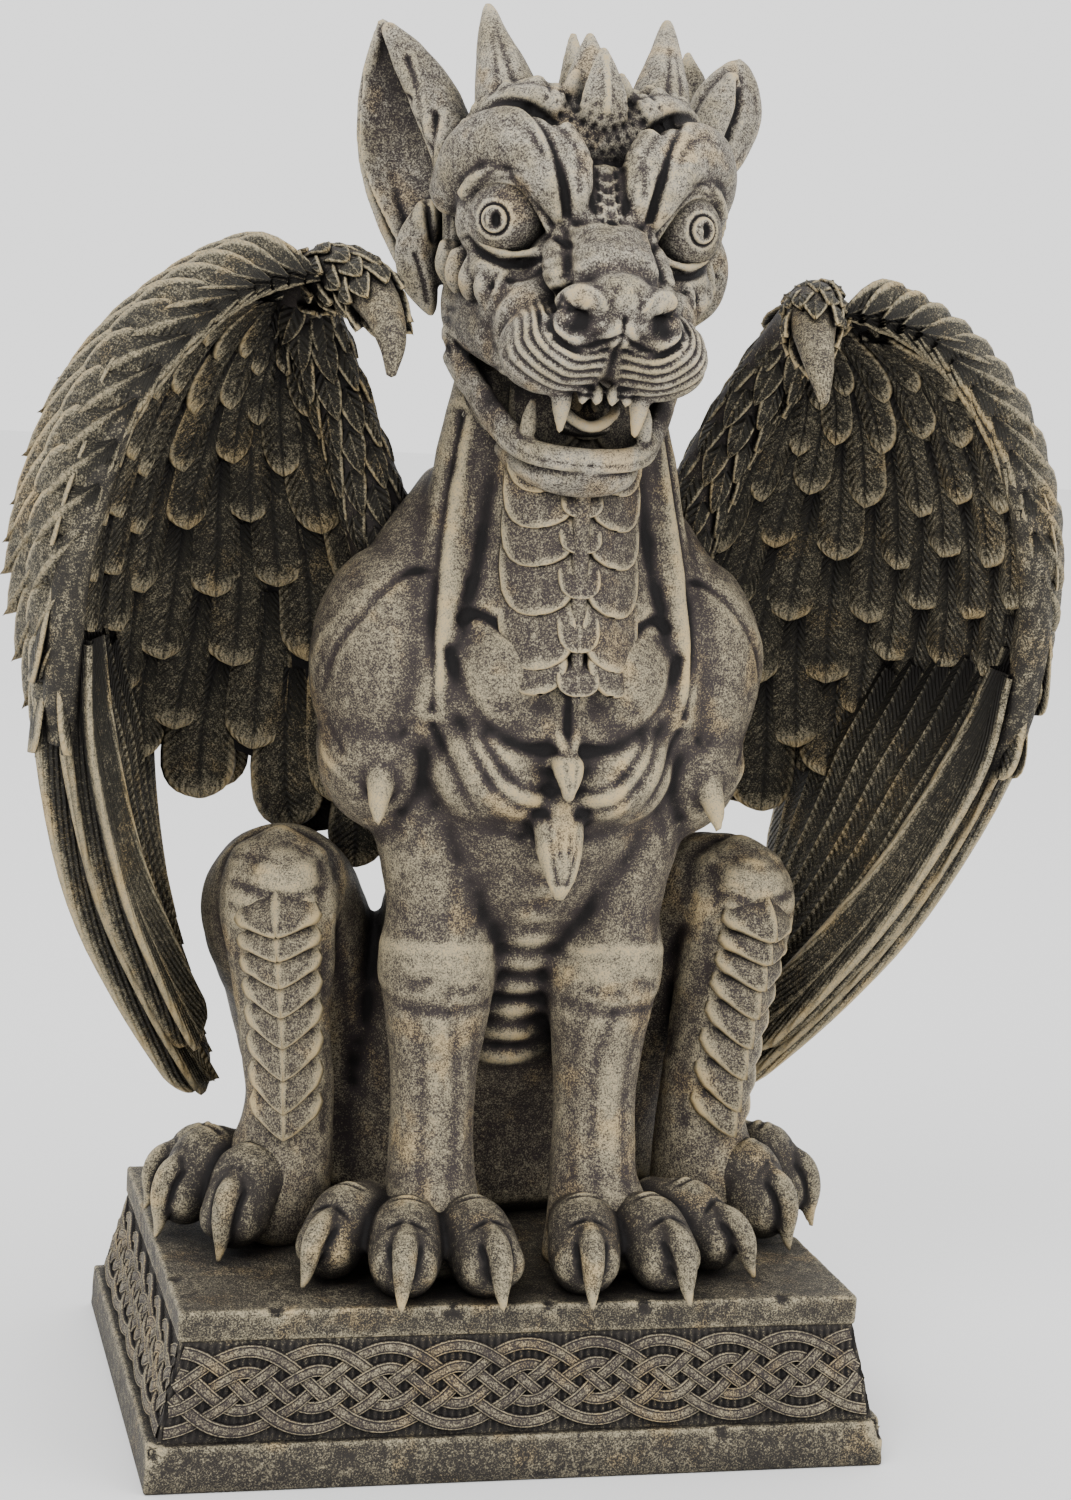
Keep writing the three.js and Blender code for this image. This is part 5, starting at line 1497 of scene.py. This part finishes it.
def makePlinth():
    p = plinth
    friezeWidth, friezeDepth = p["width"] - 2 * p["setback"], p["depth"] - 2 * p["setback"]
    topWidth, topDepth = friezeWidth - 2 * p["slope"], friezeDepth - 2 * p["slope"]
    blocks = []
    for values in ((p["width"], p["depth"], 0, p["foot"], p["width"] - 1, p["depth"] - 1),
                   (topWidth + 2 * p["overhang"], topDepth + 2 * p["overhang"], p["foot"] + p["frieze"],
                    p["foot"] + p["frieze"] + p["slab"], None, None)):
        bm = bmesh.new()
        softBlock(bm, *values)
        blocks.append(bm)
    joined = bmesh.new()
    for bm in blocks:
        mesh = bpy.data.meshes.new("part")
        bm.to_mesh(mesh)
        bm.free()
        joined.from_mesh(mesh)
        bpy.data.meshes.remove(mesh)
    for vert in joined.verts:
        rough = noise.noise(vert.co * 0.06) * 0.5 + noise.noise(vert.co * 0.35) * 0.3
        atFoot = vert.co.z < 0.6
        out = Vector((vert.co.x, vert.co.y, 0)).normalized()
        if not atFoot:
            vert.co += Vector((-out.x * abs(rough) * 0.9, -out.y * abs(rough) * 0.9, -abs(rough) * 0.5))
        for x, y, z, radius, depth in p["chips"]:
            gap = (vert.co - Vector((x, y, z))).length
            if gap < radius * 1.6 and not atFoot:
                push = depth * 0.8 * max(0.0, 1 - (gap / radius * 1.25) ** 4) * (1 + noise.noise(vert.co * 1.3))
                inX = -math.copysign(0.4, x) if abs(x) > 90 else 0
                inY = -math.copysign(0.8, y) if abs(y) > 60 else 0
                vert.co += Vector((inX, inY, -0.7)) * push
    # frieze: a ribbed ground on the four slopes
    ribs = 2.3
    for turn in range(4):
        length, upper, across = friezeWidth, topWidth, friezeDepth
        if turn % 2:
            length, upper, across = friezeDepth, topDepth, friezeWidth
        spin = Matrix.Rotation(math.radians(90 * turn), 3, "Z")
        columns = int(length / 0.62)

        def ground(u, v, length=length, upper=upper, across=across, spin=spin):
            x = (u - 0.5) * (length * (1 - v) + upper * v)
            y = -(across / 2 - p["slope"] * v)
            z = p["foot"] - 0.4 + (p["frieze"] + 0.8) * v
            rib = 0.32 * np.sin(2 * np.pi * x / ribs) * np.clip(np.minimum(v, 1 - v) * 9, 0, 1)
            return np.column_stack([x, y - rib, z]) @ np.array(spin).T

        gridShape(joined, columns, 12, ground, weld=False)
    bmesh.ops.remove_doubles(joined, verts=joined.verts[:], dist=0.01)
    for vert in joined.verts:
        vert.co *= 0.001
    bmesh.ops.recalc_face_normals(joined, faces=joined.faces)
    return pieceFrom(joined, "plinthBlock", agedResin)


# Knotwork: four outer strands and two inner ones, each over and under in turn
outerWeave = ([45, 69.3, 90, 110.7, 135, 225, 249.3, 270, 290.7, 315], [1, -1, 1, -1, 1, -1, 1, -1, 1, -1])
innerWeave = ([20.7, 45, 69.3, 110.7, 135, 159.3, 200.7, 225, 249.3, 290.7, 315, 339.3], [-1, 1, -1, 1, -1, 1] * 2)
# one strand's section: share of its width and of its height, with the edge mark of each point below
strandSection = [(-0.52, -1.2), (-0.5, 0.5), (-0.41, 0.98), (-0.32, 0.76), (-0.22, 0.92), (0.22, 0.92),
                 (0.32, 0.76), (0.41, 0.98), (0.5, 0.5), (0.52, -1.2)]
strandEdges = (0.0, 0.24, 0.9, 0.24, 0.57, 0.57, 0.24, 0.9, 0.24, 0.0)


def makeKnotwork():
    p = plinth
    bm = bmesh.new()
    edgeLayer = bm.verts.layers.float.new("edge")
    toneLayer = bm.verts.layers.float.new("tone")
    friezeWidth, friezeDepth = p["width"] - 2 * p["setback"], p["depth"] - 2 * p["setback"]
    slant = math.hypot(p["frieze"], p["slope"])
    lean = math.atan2(p["slope"], p["frieze"])
    section = np.array(strandSection)
    for turn in range(4):
        length, across = (friezeWidth, friezeDepth) if turn % 2 == 0 else (friezeDepth, friezeWidth)
        spin = Matrix.Rotation(math.radians(90 * turn), 3, "Z")
        middle = length - p["slope"]
        count = round(middle / p["pitch"])
        pitch = middle / count
        half = middle / 2 - 1.2
        steps = count * 12
        s = np.linspace(-half, half, steps + 1)
        for inner in (False, True):
            for k in range(2 if inner else 4):
                theta = 90 * ((s + middle / 2) / pitch) - 90 * k
                rad = np.radians(theta)
                if inner:
                    t = p["bandHalf"] * p["innerShare"] * np.cos(2 * rad)
                    angles, levels = innerWeave
                else:
                    t = p["bandHalf"] * np.cos(rad)
                    angles, levels = outerWeave
                level = np.interp(theta % 360, angles, levels, period=360)
                run = unit(np.column_stack([np.gradient(s), np.gradient(t)]))
                columns = len(section) - 1

                def place(u, v, s=s, t=t, level=level, run=run, columns=columns):
                    j = np.rint(v * steps).astype(int)
                    k = np.rint(u * columns).astype(int)
                    offset = section[k, 0] * p["strand"]
                    height = section[k, 1] * p["strandHeight"] * (1 + 0.24 * level[j]) + 0.34 * level[j]
                    fade = np.clip(np.minimum(j, steps - j) / 5, 0, 1)
                    height = np.where(height > 0, height * mix(0.4, 1, fade), height)
                    x = s[j] - run[j, 1] * offset
                    y = t[j] + run[j, 0] * offset
                    squeeze = 1 - (y / slant) * (2 * p["slope"] / middle)
                    x = x * squeeze
                    out = -(across - p["slope"]) / 2 + y * math.sin(lean) - height * math.cos(lean)
                    up = p["foot"] + p["frieze"] / 2 + y * math.cos(lean) + height * math.sin(lean) * 0.5
                    return np.column_stack([x, out, up]) @ np.array(spin).T

                before = len(bm.verts)
                gridShape(bm, columns, steps, place, weld=False)
                bm.verts.ensure_lookup_table()
                for index in range(before, len(bm.verts)):
                    k = (index - before) % (columns + 1)
                    bm.verts[index][edgeLayer] = strandEdges[k]
                    bm.verts[index][toneLayer] = 0.4
    for vert in bm.verts:
        vert.co *= 0.001
    bmesh.ops.recalc_face_normals(bm, faces=bm.faces)
    return pieceFrom(bm, "knotwork", agedResin)


plinthBlock = makePlinth()
knotwork = makeKnotwork()
print("plinth made", len(plinthBlock.data.polygons), len(knotwork.data.polygons))


def finishPiece(piece, tone, replaces=False):
    # one tone for the whole piece: 0 wing, 0.5 body, 1 head
    mesh = piece.data
    if mesh.attributes.get("edge") is None:
        setMask(mesh, "edge", edgeMask(mesh))
    setMask(mesh, "tone", np.full(len(mesh.vertices), tone))
    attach(piece, "root")
    if replaces:
        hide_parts("gargoyle_and_plinth")


finishPiece(body, 0.5, replaces=True)
finishPiece(paws, 0.3)
finishPiece(head, 0.95)
finishPiece(eyes, 0.9)
heights = meshArrays(plinthBlock.data)[0][:, 2] * 1000
onFrieze = (heights > plinth["foot"] + 0.3) & (heights < plinth["foot"] + plinth["frieze"] - 0.3)
plinthWear = np.maximum(edgeMask(plinthBlock.data, fine=2, broad=6, fineGain=1.4, broadGain=0.4), 0.3)
setMask(plinthBlock.data, "edge", plinthWear + np.where(onFrieze, -0.2, 0.02))
finishPiece(plinthBlock, 0.25)


def keepMask(piece):
    # feathers and scales carry their own marks, set while they are made
    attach(piece, "root")


for made in wings + [scales, knotwork]:
    keepMask(made)
print("pieces finished")

# Floor, backdrop and light
studio = {
    "floorColour": (0.86, 0.86, 0.86),
    "worldStrength": 1.7,
    # name, place, watts and size
    "lights": [("key", (-0.9, -1.1, 1.6), 20.0, 0.9), ("fill", (1.2, -0.9, 0.9), 9.0, 1.2)],
    "aim": (0, 0, 0.22),
}


def makeStudio():
    bm = bmesh.new()
    bmesh.ops.create_grid(bm, x_segments=1, y_segments=1, size=6)
    floorFinish = bpy.data.materials.new("paleFloor")
    floorFinish.use_nodes = True
    shader = floorFinish.node_tree.nodes["Principled BSDF"]
    shader.inputs["Base Color"].default_value = (*studio["floorColour"], 1)
    shader.inputs["Roughness"].default_value = 0.9
    floor = pieceFrom(bm, "paleFloor", floorFinish, smooth=False)
    world = bpy.data.worlds.new("studio")
    world.use_nodes = True
    world.node_tree.nodes["Background"].inputs[0].default_value = (1, 1, 1, 1)
    world.node_tree.nodes["Background"].inputs[1].default_value = studio["worldStrength"]
    bpy.context.scene.world = world
    for name, place, watts, size in studio["lights"]:
        light = bpy.data.lights.new(name, "AREA")
        light.energy = watts
        light.size = size
        lamp = bpy.data.objects.new(name, light)
        lamp.location = place
        lamp.rotation_euler = (Vector(studio["aim"]) - Vector(place)).to_track_quat("-Z", "Y").to_euler()
        bpy.context.scene.collection.objects.link(lamp)


makeStudio()
print("studio lit")
